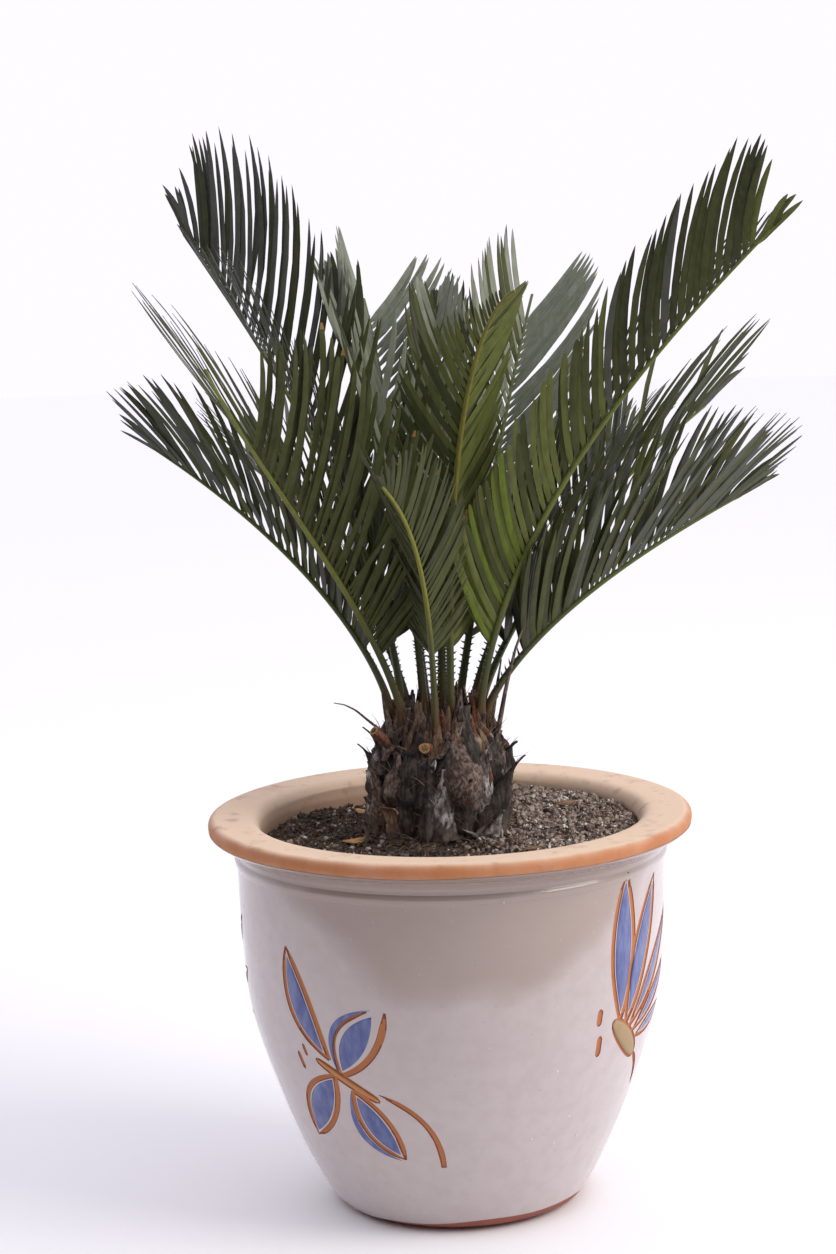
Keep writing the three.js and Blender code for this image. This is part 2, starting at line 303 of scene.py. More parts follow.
def place_piece(mesh: bpy.types.Mesh, name: str, finishes: Sequence[bpy.types.Material],
                replaces: Sequence[str] = ()) -> bpy.types.Object:
    """Puts a finished mesh in the scene as a piece of the palm.

    Args:
        mesh: The mesh, already in its place.
        name: Name of the piece.
        finishes: Materials, in the order of the mesh's material indices.
        replaces: CAD nodes that the piece stands for.

    Returns:
        The piece, which rides on the part's one body.
    """
    for finish in finishes:
        mesh.materials.append(finish)
    piece = put(name, mesh)
    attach(piece, BODY)
    if replaces:
        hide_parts(*replaces)
    log.info("%s: %d faces", name, len(mesh.polygons))
    return piece


# Finishes


def linear(colour: str) -> tuple[float, float, float, float]:
    """Returns an sRGB hex colour as the linear colour that Blender's shaders take."""
    channels = [int(colour[i:i + 2], 16) / 255 for i in (1, 3, 5)]
    red, green, blue = (c / 12.92 if c <= 0.04045 else ((c + 0.055) / 1.055) ** 2.4 for c in channels)
    return red, green, blue, 1.0


def add_node(tree: bpy.types.NodeTree, kind: str, settings: Mapping[str | int, Any] | None = None,
             links: Mapping[str | int, bpy.types.NodeSocket] | None = None) -> bpy.types.Node:
    """Adds one node to a material.

    Args:
        tree: The material's node tree.
        kind: Blender's name for the type of node.
        settings: Values by the name or number of an input, or by the name of the node's own option.
        links: Outputs of other nodes by the name or number of the input that they feed.

    Returns:
        The node.
    """
    node = tree.nodes.new(kind)
    for key, value in (settings or {}).items():
        if isinstance(key, int) or key in node.inputs:
            node.inputs[key].default_value = value
        else:
            setattr(node, key, value)
    for key, output in (links or {}).items():
        tree.links.new(output, node.inputs[key])
    return node


class Recipe:
    """The nodes of one material: patterns in millimetres that feed one Principled shader."""

    def __init__(self, name: str, roughness: float, **constants: Any) -> None:
        """Starts a material.

        Args:
            name: Name of the material.
            roughness: How matt the surface is.
            constants: Values of the shader's own sockets, such as IOR.
        """
        self.material = bpy.data.materials.new(name)
        self.material.use_nodes = True
        self.tree = self.material.node_tree
        self.tree.nodes.clear()
        self.shader = add_node(self.tree, "ShaderNodeBsdfPrincipled", {"Roughness": roughness, **constants})
        add_node(self.tree, "ShaderNodeOutputMaterial", links={"Surface": self.shader.outputs["BSDF"]})
        self.place = add_node(self.tree, "ShaderNodeTexCoord").outputs["Object"]

    def stretched(self, across: float, along: float) -> bpy.types.NodeSocket:
        """Returns places squeezed by across on X and Y and by along on Z, for a grain that runs upwards."""
        return add_node(self.tree, "ShaderNodeMapping", {"Scale": (across, across, along)},
                        {"Vector": self.place}).outputs["Vector"]

    def clouds(self, size: float, detail: float = 3.0,
               place: bpy.types.NodeSocket | None = None) -> bpy.types.NodeSocket:
        """Returns soft noise from 0 to 1 whose clouds are about size millimetres across."""
        settings = {"Scale": 1 / (size * MM), "Detail": detail}
        links = {"Vector": place or self.place}
        return add_node(self.tree, "ShaderNodeTexNoise", settings, links).outputs["Fac"]

    def dots(self, spacing: float, size: float) -> bpy.types.NodeSocket:
        """Returns 1 inside scattered dots of a size in millimetres, one to a cell of the spacing."""
        settings = {"Scale": 1 / (spacing * MM)}
        cells = add_node(self.tree, "ShaderNodeTexVoronoi", settings, {"Vector": self.place})
        reach = size / 2 / spacing
        return self.between(cells.outputs["Distance"], reach, reach * 0.6)

    def between(self, value: bpy.types.NodeSocket, low: float, high: float, bottom: float = 0.0,
                top: float = 1.0) -> bpy.types.NodeSocket:
        """Returns a value spread from low..high to bottom..top, eased and held at both ends."""
        settings = {"interpolation_type": "SMOOTHSTEP", "From Min": low, "From Max": high,
                    "To Min": bottom, "To Max": top}
        return add_node(self.tree, "ShaderNodeMapRange", settings, {"Value": value}).outputs["Result"]

    def maths(self, operation: str, first: bpy.types.NodeSocket,
              second: bpy.types.NodeSocket | float) -> bpy.types.NodeSocket:
        """Returns the result of one sum on a value and a number or second value."""
        number = isinstance(second, (int, float))
        settings = {"operation": operation, 1: second} if number else {"operation": operation}
        links = {0: first} if number else {0: first, 1: second}
        return add_node(self.tree, "ShaderNodeMath", settings, links).outputs[0]

    def times(self, first: bpy.types.NodeSocket,
              second: bpy.types.NodeSocket | float) -> bpy.types.NodeSocket:
        """Returns a value times a number or second value."""
        return self.maths("MULTIPLY", first, second)

    def axis(self, name: str) -> bpy.types.NodeSocket:
        """Returns the X, Y or Z of the place on the piece, in metres."""
        return add_node(self.tree, "ShaderNodeSeparateXYZ", links={"Vector": self.place}).outputs[name]

    def radius(self) -> bpy.types.NodeSocket:
        """Returns the distance from the pot's upright axis, in metres."""
        kind = "ShaderNodeVectorMath"
        level = add_node(self.tree, kind, {"operation": "MULTIPLY", 1: (1, 1, 0)}, {0: self.place})
        return add_node(self.tree, kind, {"operation": "LENGTH"}, {0: level.outputs[0]}).outputs["Value"]

    def blend(self, factor: bpy.types.NodeSocket, first: str | bpy.types.NodeSocket,
              second: str | bpy.types.NodeSocket) -> bpy.types.NodeSocket:
        """Returns a colour mixed from two, each a hex value or another colour.

        Args:
            factor: 0 gives the first colour and 1 the second.
            first: The first colour.
            second: The second colour.

        Returns:
            The mixed colour.
        """
        node = add_node(self.tree, "ShaderNodeMix", {"data_type": "RGBA"}, {0: factor})
        for socket, colour in ((6, first), (7, second)):
            if isinstance(colour, str):
                node.inputs[socket].default_value = linear(colour)
            else:
                self.tree.links.new(colour, node.inputs[socket])
        return node.outputs[2]

    def colour(self, colour: str | bpy.types.NodeSocket) -> None:
        """Sets the shader's base colour."""
        if isinstance(colour, str):
            self.shader.inputs["Base Color"].default_value = linear(colour)
        else:
            self.tree.links.new(colour, self.shader.inputs["Base Color"])

    def sheen_of(self, value: bpy.types.NodeSocket) -> None:
        """Lets a pattern drive how matt the surface is."""
        self.tree.links.new(value, self.shader.inputs["Roughness"])

    def relief(self, height: bpy.types.NodeSocket, depth: float) -> None:
        """Adds a fine relief, depth millimetres deep, under what the mesh already shows."""
        settings = {"Strength": 1.0, "Distance": depth * MM}
        bump = add_node(self.tree, "ShaderNodeBump", settings, {"Height": height})
        self.tree.links.new(bump.outputs["Normal"], self.shader.inputs["Normal"])


@dataclass(frozen=True)
class StonewareGlaze:
    """Poured grey glaze over clay: a glossy skin with brown mottling, a brown painted dark reflection over
    the upper front, painted shade under the rim, and iron and ash specks.
    """

    pale: str = "#c2b7b6"
    # This brown serves the mottling and also the painted dark reflection over the upper front.
    thin: str = "#9a887d"
    # The edge colour is painted shade under the rolled rim.
    edge: str = "#847068"
    iron_speck: str = "#6d5a4e"
    ash_speck: str = "#ddd5ce"
    # Where the painted dark reflection sits: its middle across the front, the height of its lower edge, and
    # how fast that edge rises to the sides.
    reflection_middle: float = 8.0
    reflection_foot: float = 205.0
    reflection_rise: float = 3.9
    rim_shade_zone: Point = (307.0, 316.0)

    def build(self) -> bpy.types.Material:
        """Returns the glaze as a material."""
        coat = {"Coat Weight": 0.35, "Coat Roughness": 0.08}
        recipe = Recipe("stoneware_glaze", roughness=0.2, IOR=1.5, **coat)
        # Painted dark reflection: a brown cloud over the upper front whose wavy lower edge rises to the
        # sides, with a fainter brown fade below it.
        aside = recipe.maths("SUBTRACT", recipe.axis("X"), self.reflection_middle * MM)
        dip = recipe.times(recipe.times(aside, aside), self.reflection_rise)
        wave = recipe.times(recipe.clouds(70, 1.5), 0.05)
        level = recipe.maths("SUBTRACT", recipe.axis("Z"), recipe.maths("ADD", dip, wave))
        dark_reflection = recipe.between(level, (self.reflection_foot - 48) * MM, (self.reflection_foot + 2) * MM)
        mottling = recipe.between(recipe.clouds(12, 5), 0.3, 0.75, 0.0, 0.16)
        mottled = recipe.blend(mottling, self.pale, self.thin)
        reflection_fade = recipe.between(level, 70 * MM, 230 * MM, 0.0, 0.32)
        reflection_brown = recipe.maths("MAXIMUM", reflection_fade, recipe.times(dark_reflection, 0.82))
        body = recipe.blend(reflection_brown, mottled, self.thin)
        # Painted shade under the rolled rim: the glaze darkens upwards towards the glaze line.
        low, high = (zone * MM for zone in self.rim_shade_zone)
        edge = recipe.times(recipe.between(recipe.axis("Z"), low, high), 0.7)
        body = recipe.blend(edge, body, self.edge)
        specked = recipe.blend(recipe.times(recipe.dots(9, 1.3), 0.3), body, self.ash_speck)
        recipe.colour(recipe.blend(recipe.times(recipe.dots(11, 1.1), 0.55), specked, self.iron_speck))
        recipe.sheen_of(recipe.between(recipe.clouds(40, 2), 0.3, 0.7, 0.14, 0.26))
        recipe.relief(recipe.clouds(5, 2), 0.12)
        return recipe.material


@dataclass(frozen=True)
class BareClay:
    """Unglazed fired clay: matt and grainy, orange at the edge, pale where the rim lies flat with dust and
    painted top light, and darker down the inner wall with painted shade.
    """

    name: str = "bare_terracotta"
    fired: str = "#b6764b"
    # The pale of the flat rim top: lime dust together with painted top light.
    dusted: str = "#e8cdb2"
    burnt: str = "#8a5537"
    # Colour of painted shade down the inner wall, deepening from the rim's top towards the soil.
    inner_wall_shade: str = "#a48067"
    dust_edge: Point = (201.0, 193.0)
    inner_wall_shade_zone: Point = (310.0, 326.0)

    @classmethod
    def even(cls, name: str, fired: str, burnt: str) -> "BareClay":
        """Returns a clay that is fired to one colour all over, apart from its burnt stains."""
        return cls(name, fired, fired, burnt, fired)

    def build(self) -> bpy.types.Material:
        """Returns the clay as a material."""
        recipe = Recipe(self.name, roughness=0.78, IOR=1.45)
        wavering = recipe.times(recipe.clouds(30, 3), 4 * MM)
        # The flat rim top turns pale inside the dust edge: dust with painted top light.
        inwards = recipe.between(recipe.maths("ADD", recipe.radius(), wavering),
                                 (self.dust_edge[0] + 2) * MM, (self.dust_edge[1] + 2) * MM)
        # Painted shade down the inner wall, deepening from the rim's top towards the soil.
        low, high = (zone * MM for zone in self.inner_wall_shade_zone)
        inner_wall_shade = recipe.times(recipe.between(recipe.axis("Z"), high, low), 0.75)
        inner = recipe.blend(inner_wall_shade, self.dusted, self.inner_wall_shade)
        body = recipe.blend(inwards, self.fired, inner)
        stained = recipe.blend(recipe.between(recipe.clouds(14, 5), 0.52, 0.85, 0.0, 0.5), body, self.burnt)
        grainy = recipe.blend(recipe.times(recipe.dots(6, 1.2), 0.5), stained, self.burnt)
        recipe.colour(grainy)
        recipe.relief(recipe.clouds(1.6, 3), 0.15)
        return recipe.material


@dataclass(frozen=True)
class BrushedGlaze:
    """A brushed glaze in streaks, darker where it is thick, and violet blue unless told otherwise."""

    name: str = "cobalt_glaze"
    thick: str = "#47538c"
    thin: str = "#6c76a2"

    def build(self) -> bpy.types.Material:
        """Returns the brushed glaze as a material."""
        recipe = Recipe(self.name, roughness=0.22, IOR=1.5)
        streaks = recipe.clouds(7, 3, recipe.stretched(1.0, 0.35))
        recipe.colour(recipe.blend(recipe.between(streaks, 0.25, 0.8), self.thick, self.thin))
        recipe.relief(streaks, 0.1)
        return recipe.material


@dataclass(frozen=True)
class Earthy:
    """Anything dry and crumbled: two browns in fine clouds, quite matt, with a gritty relief."""

    name: str
    dark: str
    light: str
    grain: float
    patch: float = 12.0
    pale: str | None = None
    pale_from: float = 0.58

    def build(self) -> bpy.types.Material:
        """Returns the finish as a material."""
        recipe = Recipe(self.name, roughness=0.92, IOR=1.4)
        grit = recipe.clouds(self.grain, 4)
        body = recipe.blend(recipe.between(grit, 0.3, 0.7), self.dark, self.light)
        if self.pale:
            patches = recipe.between(recipe.clouds(self.patch, 3), self.pale_from, self.pale_from + 0.12)
            flecks = recipe.clouds(self.grain * 1.7, 4)
            worn = recipe.times(patches, recipe.between(flecks, 0.38, 0.62))
            body = recipe.blend(worn, body, self.pale)
        recipe.colour(body)
        recipe.relief(grit, 0.6)
        return recipe.material


@dataclass(frozen=True)
class LeafBase:
    """Dead leaf bases: fibrous bark with an upright grain, patched with grey mould near the soil."""

    name: str
    dark: str
    light: str
    mould: str = "#8b8681"
    mould_share: float = 0.66
    dust: str = "#74655c"
    dust_zone: Point = (328.0, 362.0)
    grain: float = 0.16

    def build(self) -> bpy.types.Material:
        """Returns the bark as a material."""
        recipe = Recipe(self.name, roughness=0.86, IOR=1.42)
        fibres = recipe.clouds(2.2, 4, recipe.stretched(1.0, self.grain))
        lumps = recipe.clouds(9, 4)
        body = recipe.blend(recipe.between(fibres, 0.33, 0.66), self.dark, self.light)
        shaded = recipe.blend(recipe.between(lumps, 0.42, 0.64, 0.0, 0.8), body, self.dark)
        patches = recipe.between(recipe.clouds(17, 3), self.mould_share - 0.1, self.mould_share + 0.16)
        flecks = recipe.clouds(3, 6, recipe.stretched(1.0, 0.45))
        crust = recipe.times(patches, recipe.between(flecks, 0.36, 0.7))
        moulded = recipe.blend(crust, shaded, self.mould)
        level = recipe.maths("ADD", recipe.axis("Z"), recipe.times(recipe.clouds(14, 3), 40 * MM))
        low, high = (zone * MM for zone in self.dust_zone)
        dusted = recipe.times(recipe.between(level, high, low), recipe.between(lumps, 0.35, 0.6))
        recipe.colour(recipe.blend(recipe.times(dusted, 0.85), moulded, self.dust))
        recipe.relief(recipe.maths("ADD", fibres, lumps), 0.9)
        return recipe.material


@dataclass(frozen=True)
class FrondStem:
    """A frond's stem: waxy green skin, brown wool low in the crown and a yellower rib further out."""

    name: str
    rib: str
    petiole: str = "#444a2b"
    wool: str = "#543f29"
    wool_zone: Point = (402.0, 446.0)
    petiole_zone: Point = (450.0, 540.0)

    def build(self) -> bpy.types.Material:
        """Returns the stem's skin as a material."""
        recipe = Recipe(self.name, roughness=0.42, IOR=1.45, **{"Specular IOR Level": 0.2})
        grain = recipe.clouds(3, 3, recipe.stretched(1.0, 0.25))
        height = recipe.axis("Z")
        low, high = (zone * MM for zone in self.petiole_zone)
        green = recipe.blend(recipe.between(height, low, high), self.petiole, self.rib)
        mottled = recipe.blend(recipe.between(grain, 0.4, 0.8, 0.0, 0.45), green, self.petiole)
        woolly = recipe.maths("ADD", height, recipe.times(recipe.clouds(8, 3), 24 * MM))
        low, high = ((zone + 12) * MM for zone in self.wool_zone)
        recipe.colour(recipe.blend(recipe.between(woolly, high, low), mottled, self.wool))
        recipe.relief(grain, 0.3)
        return recipe.material


@dataclass(frozen=True)
class LeafletSkin:
    """A leaflet's skin: stiff waxy leather, faintly streaked along its length."""

    name: str
    base: str
    streak: str
    gloss: float
    roughness: float = 0.4

    def build(self) -> bpy.types.Material:
        """Returns the skin as a material."""
        recipe = Recipe(self.name, roughness=self.roughness, IOR=1.45, **{"Specular IOR Level": self.gloss})
        streaks = recipe.clouds(6, 3, recipe.stretched(1.0, 0.2))
        recipe.colour(recipe.blend(recipe.between(streaks, 0.3, 0.75, 0.0, 0.7), self.base, self.streak))
        recipe.relief(streaks, 0.15)
        return recipe.material


class Shade(Enum):
    """Colours of the leaflets, dealt out leaflet by leaflet: upper side, its streak, underside, and gloss.
    The grey shade's pale upper side is painted sheen, and the steel shade's bluish grey is painted backlight
    glare.
    """

    DEEP = ("#2d311a", "#3a3e22", "#40442a", 0.16)
    OLIVE = ("#3a3f1b", "#494e26", "#4a4f2f", 0.14)
    # The pale grey upper side and streak are painted sheen of backlit leaflets; the underside is the
    # leaflet's own olive.
    GREY = ("#6c725d", "#868b7b", "#5a5f45", 0.35)
    FRESH = ("#4d5423", "#61682f", "#636a38", 0.16)
    LIME = ("#4a5918", "#5d6e23", "#65742c", 0.16)
    # The bluish grey is painted glare of the bright backlight on upper leaflets.
    STEEL = ("#3b3e34", "#4b4e45", "#4d5044", 0.2)
    DRY = ("#6e5228", "#8a6a35", "#8f7040", 0.16)


# Pot


@dataclass(frozen=True)
class Stroke:
    """A groove cut into the pot between two places, as azimuth in degrees and height in millimetres."""

    start: Point
    end: Point
    bow: float
    width: float = 5.4
    depth: float = 1.3
    taper: Point = (0.4, 0.4)
    roundness: float = 1.0


@dataclass(frozen=True)
class Brushed:
    """A field of colour between two edges; each edge is its bow and a shift aside, in millimetres."""

    start: Point
    end: Point
    edges: tuple[Point, Point]
    dome: float = 0.3
    roundness: float = 1.0
    finish: int = 0


@dataclass(frozen=True)
class Petal:
    """A wing or petal: two bowed grooves from base to tip with a blue field between them."""

    base: Point
    tip: Point
    bows: Point
    spill: float = 0.0
    open_tip: float = 0.0
    widths: Point = (4.8, 5.6)


@dataclass(frozen=True)
class Bud:
    """A raised oval of clay with a groove round it."""

    start: Point
    end: Point
    width: float
    roundness: float
    finish: int
    rim: float


@dataclass(frozen=True)
class Motif:
    """One ornament: petals, free strokes and a raised body, turned round the pot together."""

    petals: tuple[Petal, ...]
    strokes: tuple[Stroke, ...]
    bud: Bud
    turns: tuple[float, ...]


DRAGONFLY = Motif(
    petals=(
        Petal((-37.2, 157), (-49.3, 246), (19, -5)),
        Petal((-34.0, 144), (-21.0, 203), (17, -12), spill=5, open_tip=5, widths=(5.6, 6.6)),
        Petal((-36.6, 143), (-53.2, 80), (-17, 13), widths=(5.6, 5.8)),
        Petal((-31.2, 132), (-17.8, 72), (-15, 9), spill=6),
    ),
    strokes=(
        Stroke((-22.8, 131), (-5.0, 66), 13, width=5.6, taper=(0.25, 0.8)),
        Stroke((-46.4, 166), (-45.6, 156), 0, width=3.6),
        Stroke((-49.2, 158), (-48.0, 143), 0, width=4.4),
    ),
    bud=Bud((-42.2, 155), (-23.0, 124.5), 6.6, 0.3, 2, 2.6),
    turns=(0.0, 150.0),
)
FLOWER = Motif(
    petals=(
        Petal((50.6, 175), (51.8, 298), (15, -13)),
        Petal((53.6, 171), (67.6, 287), (15, -10)),
        Petal((55.8, 167), (83.0, 252), (9, -8)),
        Petal((58.5, 162), (85.0, 208), (8, -7), widths=(4.4, 4.4)),
        Petal((61.0, 155), (83.0, 168), (7, -6), widths=(4.0, 4.0)),
    ),
    strokes=(
        Stroke((62.8, 139), (71.8, 104), 3, width=5.4, taper=(0.6, 0.15)),
        Stroke((42.3, 191), (41.8, 177), 0, width=6.0),
        Stroke((42.8, 168), (43.0, 150), 0, width=6.0),
    ),
    bud=Bud((47.8, 177), (62.8, 138), 17.0, 0.5, 1, 2.8),
    turns=(0.0, -162.0),
)


@dataclass
class GlazedPot:
    """A thrown garden pot with a rolled rim, glazed outside between its bare rim and its bare foot."""

    foot_radius: float = 94.0
    body: tuple[Point, ...] = ((96, 2), (107, 10), (128, 50), (151.5, 110), (169, 170), (174.5, 230),
                               (176.4, 284), (178.2, 292), (178.9, 296), (177.2, 299.5))
    rim: tuple[Point, ...] = ((177.2, 299.5), (178.2, 303.5), (184, 309), (192, 312.6), (198.6, 317.4),
                              (200, 322.4), (198.6, 326.6), (194.5, 328.5))
    lip: tuple[Point, ...] = ((194.5, 328.5), (184, 328.1), (172.5, 327.9), (165, 327.2), (160.4, 324.6),
                              (157.4, 319.4), (156.2, 312))
    wall: tuple[Point, ...] = ((156.2, 312), (159, 250), (154, 175), (137, 112), (116, 60), (100, 26),
                               (88, 18))
    glaze_line: float = 318.4
    foot_line: float = 8.5
    glaze_thickness: float = 0.5
    segments: int = 320
    unevenness: float = 0.45
    throwing: float = 90.0
    seam: float = 0.9
    carved_zone: Point = (40.0, 300.0)
    groove_depths: tuple[float, float, float] = (0.13, 0.75, 5.0)
    blisters: tuple[tuple[float, float, float], ...] = (
        (13.0, 292, 1.7), (29.2, 146, 2.2), (24.1, 87, 2.0), (42.6, 80, 2.3), (36.8, 101, 1.6),
        (51.2, 106, 1.5), (33.1, 79, 1.9), (8.9, 174, 1.3), (-102, 120, 2.0), (-140, 205, 1.8),
        (118, 95, 2.1), (-75, 262, 1.4))
    outer: list[Point] = field(init=False)

    def __post_init__(self) -> None:
        """Draws the outer line once, from the foot to the widest part of the rim."""
        self.outer = [*spline(self.body, 7), *spline(self.rim, 4)[1:]]

    def radius(self, height: float) -> float:
        """Returns the outer radius at a height, up to the widest part of the rim."""
        rising = [point for point in self.outer if point[1] <= 323]
        return float(np.interp(height, [z for _, z in rising], [r for r, _ in rising]))

    def wander(self, azimuth: float) -> float:
        """Returns how far the poured glaze's upper edge runs up or down at an azimuth."""
        turn = math.radians(azimuth)
        return -1.3 * math.cos(turn - 0.15) + 0.7 * math.sin(2 * turn + 0.4) + 0.35 * math.sin(7 * turn)

    def foot_wander(self, azimuth: float) -> float:
        """Returns how far the bare clay at the foot reaches up at an azimuth."""
        turn = math.radians(azimuth)
        return 4.6 * math.sin(turn + 0.1) + 1.1 * math.sin(3 * turn + 1.0) + 0.6 * math.sin(8 * turn)

    def skin(self, azimuth: float, height: float) -> float:
        """Returns the glazed wall's radius at an azimuth and height, with the unevenness of throwing."""
        even = self.radius(height) + self.glaze_thickness
        return even + self.unevenness * roughly(outward(azimuth) * even + UP * height, self.throwing)

    def place_on(self, azimuth: float, height: float, proud: float = 0.0) -> np.ndarray:
        """Returns the point on the glazed wall at an azimuth and height, moved out by proud."""
        return outward(azimuth) * (self.skin(azimuth, height) + proud) + UP * height

    def profile(self) -> list[Point]:
        """Returns the pot's closed half section, with a double line where the glaze begins and ends."""
        outline = [(0.0, 0.0), (self.foot_radius - 3, 0.0), (self.foot_radius, 0.4), *self.outer]
        glazed: list[Point] = []
        for radius, height in outline:
            covered = self.foot_line < height < self.glaze_line and radius > self.foot_radius
            glazed.append((radius + (self.glaze_thickness if covered else 0.0), height))
        for line in (self.foot_line, self.glaze_line):
            at = next(i for i, point in enumerate(glazed) if point[1] > line)
            edge = self.radius(line)
            bare, skin = (edge, line), (edge + self.glaze_thickness, line)
            glazed[at:at] = [bare, skin] if line == self.foot_line else [skin, bare]
        inner = [*spline(self.lip, 5)[1:], *spline(self.wall, 5)[1:], (0.0, 18.0)]
        return [*glazed, *inner]

    def build(self) -> bpy.types.Mesh:
        """Spins the pot and lets its glaze lines waver.

        Returns:
            The pot in metres: material 0 is glaze and 1 bare clay, 2 the foot's clay.
        """
        bm = spun(self.profile(), self.segments)
        for vert in bm.verts:
            x, y, z = vert.co
            azimuth = azimuth_of(x, y)
            if math.hypot(x, y) > self.foot_radius + 1:
                near_rim = math.exp(-((z - self.glaze_line) / 3.0) ** 2)
                near_foot = math.exp(-((z - self.foot_line) / 4.0) ** 2) * smooth(z / 3)
                shift = near_rim * self.wander(azimuth) + near_foot * self.foot_wander(azimuth)
                along = self.radius(z + shift) - self.radius(z)
                stretch = 1 + along / math.hypot(x, y)
                vert.co = (x * stretch, y * stretch, z + shift)
                if 12 < z < 300:
                    thrown = 1 + self.unevenness * roughly((x, y, z), self.throwing) / math.hypot(x, y)
                    vert.co = (vert.co.x * thrown, vert.co.y * thrown, vert.co.z)
        for face in bm.faces:
            face.material_index = self.zone_of(face.calc_center_median())
        return finish_mesh(bm, "pot_body")

    def zone_of(self, centre: Vector) -> int:
        """Returns the material index for a face of the spun pot by its middle: 0 glaze, 1 clay, 2 foot."""
        radius = math.hypot(centre.x, centre.y)
        azimuth = azimuth_of(centre.x, centre.y)
        if radius < self.foot_radius + 1 or centre.z < self.foot_line + self.foot_wander(azimuth):
            return 2 if centre.z < 16 else 1
        on_skin = radius > self.radius(centre.z) - 6
        return 0 if on_skin and centre.z < self.glaze_line + self.wander(azimuth) else 1

    def aside_of(self, start: Point, end: Point, share: float, aside: float) -> Point:
        """Finds a place beside the straight way between two places on the wall.

        Args:
            start: Azimuth and height where the way starts.
            end: Azimuth and height where it ends.
            share: How far along the way.
            aside: Millimetres to the left of the way.

        Returns:
            The place's azimuth and height.
        """
        degree = math.radians(1) * self.radius((start[1] + end[1]) / 2)
        run, climb = (end[0] - start[0]) * degree, end[1] - start[1]
        length = math.hypot(run, climb)
        return start[0] + (run * share - climb / length * aside) / degree, (
            start[1] + climb * share + run / length * aside)

    def carve(self, stroke: Stroke, turn: float, name: str) -> bpy.types.Object:
        """Makes the cutter for one groove: a flattened rod that lies half in the wall.

        Args:
            stroke: The groove.
            turn: How far the motif is turned round the pot, in degrees.
            name: Name of the cutter.

        Returns:
            The cutter as an object.
        """
        steps = 18
        shares = np.linspace(0, 1, steps + 1)
        lead, trail = stroke.taper
        grown = np.minimum(lead + 7 * shares * (1 - lead), trail + 7 * (1 - shares) * (1 - trail)).clip(0, 1)
        path = [self.aside_of(stroke.start, stroke.end, share, stroke.bow * (4 * share * (1 - share))
                              ** stroke.roundness) for share in shares]
        centres = np.array([self.place_on(azimuth + turn, height) for azimuth, height in path])
        rings = []
        for i, (centre, size) in enumerate(zip(centres, grown)):
            ahead = unit(centres[min(i + 1, steps)] - centres[max(i - 1, 0)])
            out = outward(path[i][0] + turn)
            side = unit(np.cross(ahead, out))
            rings.append(centre + size * oval(12, side * stroke.width / 2, out * stroke.depth))
        bm = bmesh.new()
        tube(bm, rings)
        return bpy.data.objects.new(name, finish_mesh(bm, name))

    def strokes_of(self, motif: Motif) -> list[Stroke]:
        """Returns a motif's grooves: its free strokes, two for each petal and two round its bud."""
        grooves = list(motif.strokes)
        for petal in motif.petals:
            for bow, aside, width in zip(petal.bows, (-1, 1), petal.widths):
                tip = (petal.tip[0] + petal.open_tip * aside / 2, petal.tip[1])
                grooves.append(Stroke(petal.base, tip, bow, width, taper=(0.8, 0.35)))
        bud = motif.bud
        for bow in (bud.width / 2, -bud.width / 2):
            grooves.append(Stroke(bud.start, bud.end, bow, bud.rim, 1.0, (0.9, 0.9), bud.roundness))
        return grooves

    def fields_of(self, motif: Motif) -> list[Brushed]:
        """Returns a motif's coloured fields: its petals' blue, past a groove where it spills, and its bud."""
        fields = []
        for petal in motif.petals:
            first, second = petal.bows
            side = math.copysign(1, first - second)
            gaps = [width / 2 + self.seam for width in petal.widths]
            edges = ((first, -side * gaps[0]), (second, side * gaps[1]))
            fields.append(Brushed(petal.base, petal.tip, edges))
            if petal.spill:
                past = side * (gaps[0] - 0.5)
                edges = ((first + side * petal.spill, past), (first, past))
                fields.append(Brushed(petal.base, petal.tip, edges))
        bud = motif.bud
        half = bud.width / 2 - bud.rim / 2
        fields.append(Brushed(bud.start, bud.end, ((half, 0), (-half, 0)), 1.0, bud.roundness, bud.finish))
        return fields

    def inlay(self, bm: bmesh.types.BMesh, field_: Brushed, turn: float) -> None:
        """Adds one coloured field to a bmesh, as a thin pillow on the wall.

        Args:
            bm: The bmesh that the field is added to.
            field_: The field.
            turn: How far the motif is turned round the pot, in degrees.
        """
        (first, first_shift), (second, second_shift) = field_.edges
        closing = abs(first_shift - second_shift) / max(1e-6, abs(first - second))
        spare = max(0.015, (1 - math.sqrt(max(0.0, 1 - min(1.0, closing)))) / 2 + 0.005)
        grid = bmesh.ops.create_grid(bm, x_segments=6, y_segments=20, size=0.5)
        for vert in grid["verts"]:
            across = min(1.0, max(0.0, vert.co.x + 0.5))
            share = mix(spare, 1 - spare, min(1.0, max(0.0, vert.co.y + 0.5)))
            belly = (4 * share * (1 - share)) ** field_.roundness
            aside = mix(first * belly + first_shift, second * belly + second_shift, across)
            azimuth, height = self.aside_of(field_.start, field_.end, share, aside)
            crown = (4 * across * (1 - across)) ** 0.7 * math.sin(math.pi * share) ** 0.5
            vert.co = self.place_on(azimuth + turn, height, 0.05 + field_.dome * crown)
        for vert in extruded(bm, faces_at(grid["verts"], field_.finish)):
            vert.co -= Vector(outward(azimuth_of(vert.co.x, vert.co.y))) * 0.8

    def ornament(self) -> bpy.types.Mesh:
        """Returns all coloured fields as one mesh."""
        bm = bmesh.new()
        for motif in (DRAGONFLY, FLOWER):
            for turn in motif.turns:
                for brushed in self.fields_of(motif):
                    self.inlay(bm, brushed, turn)
        return finish_mesh(bm, "ornament_inlays", weld=0.001)

    def blister_rings(self) -> bpy.types.Mesh:
        """Returns the burst glaze bubbles: small raised rings round a pinhole."""
        bm = bmesh.new()
        for azimuth, height, size in self.blisters:
            out = outward(azimuth)
            side = np.cross(UP, out)
            centre = self.place_on(azimuth, height)
            heights = ((1.0, -0.3), (0.85, 0.28), (0.55, 0.3), (0.4, -0.15), (0.12, -0.35))
            tube(bm, [centre + out * lift + size / 2 * reach * oval(12, side, UP) for reach, lift in heights])
        return finish_mesh(bm, "glaze_blisters")

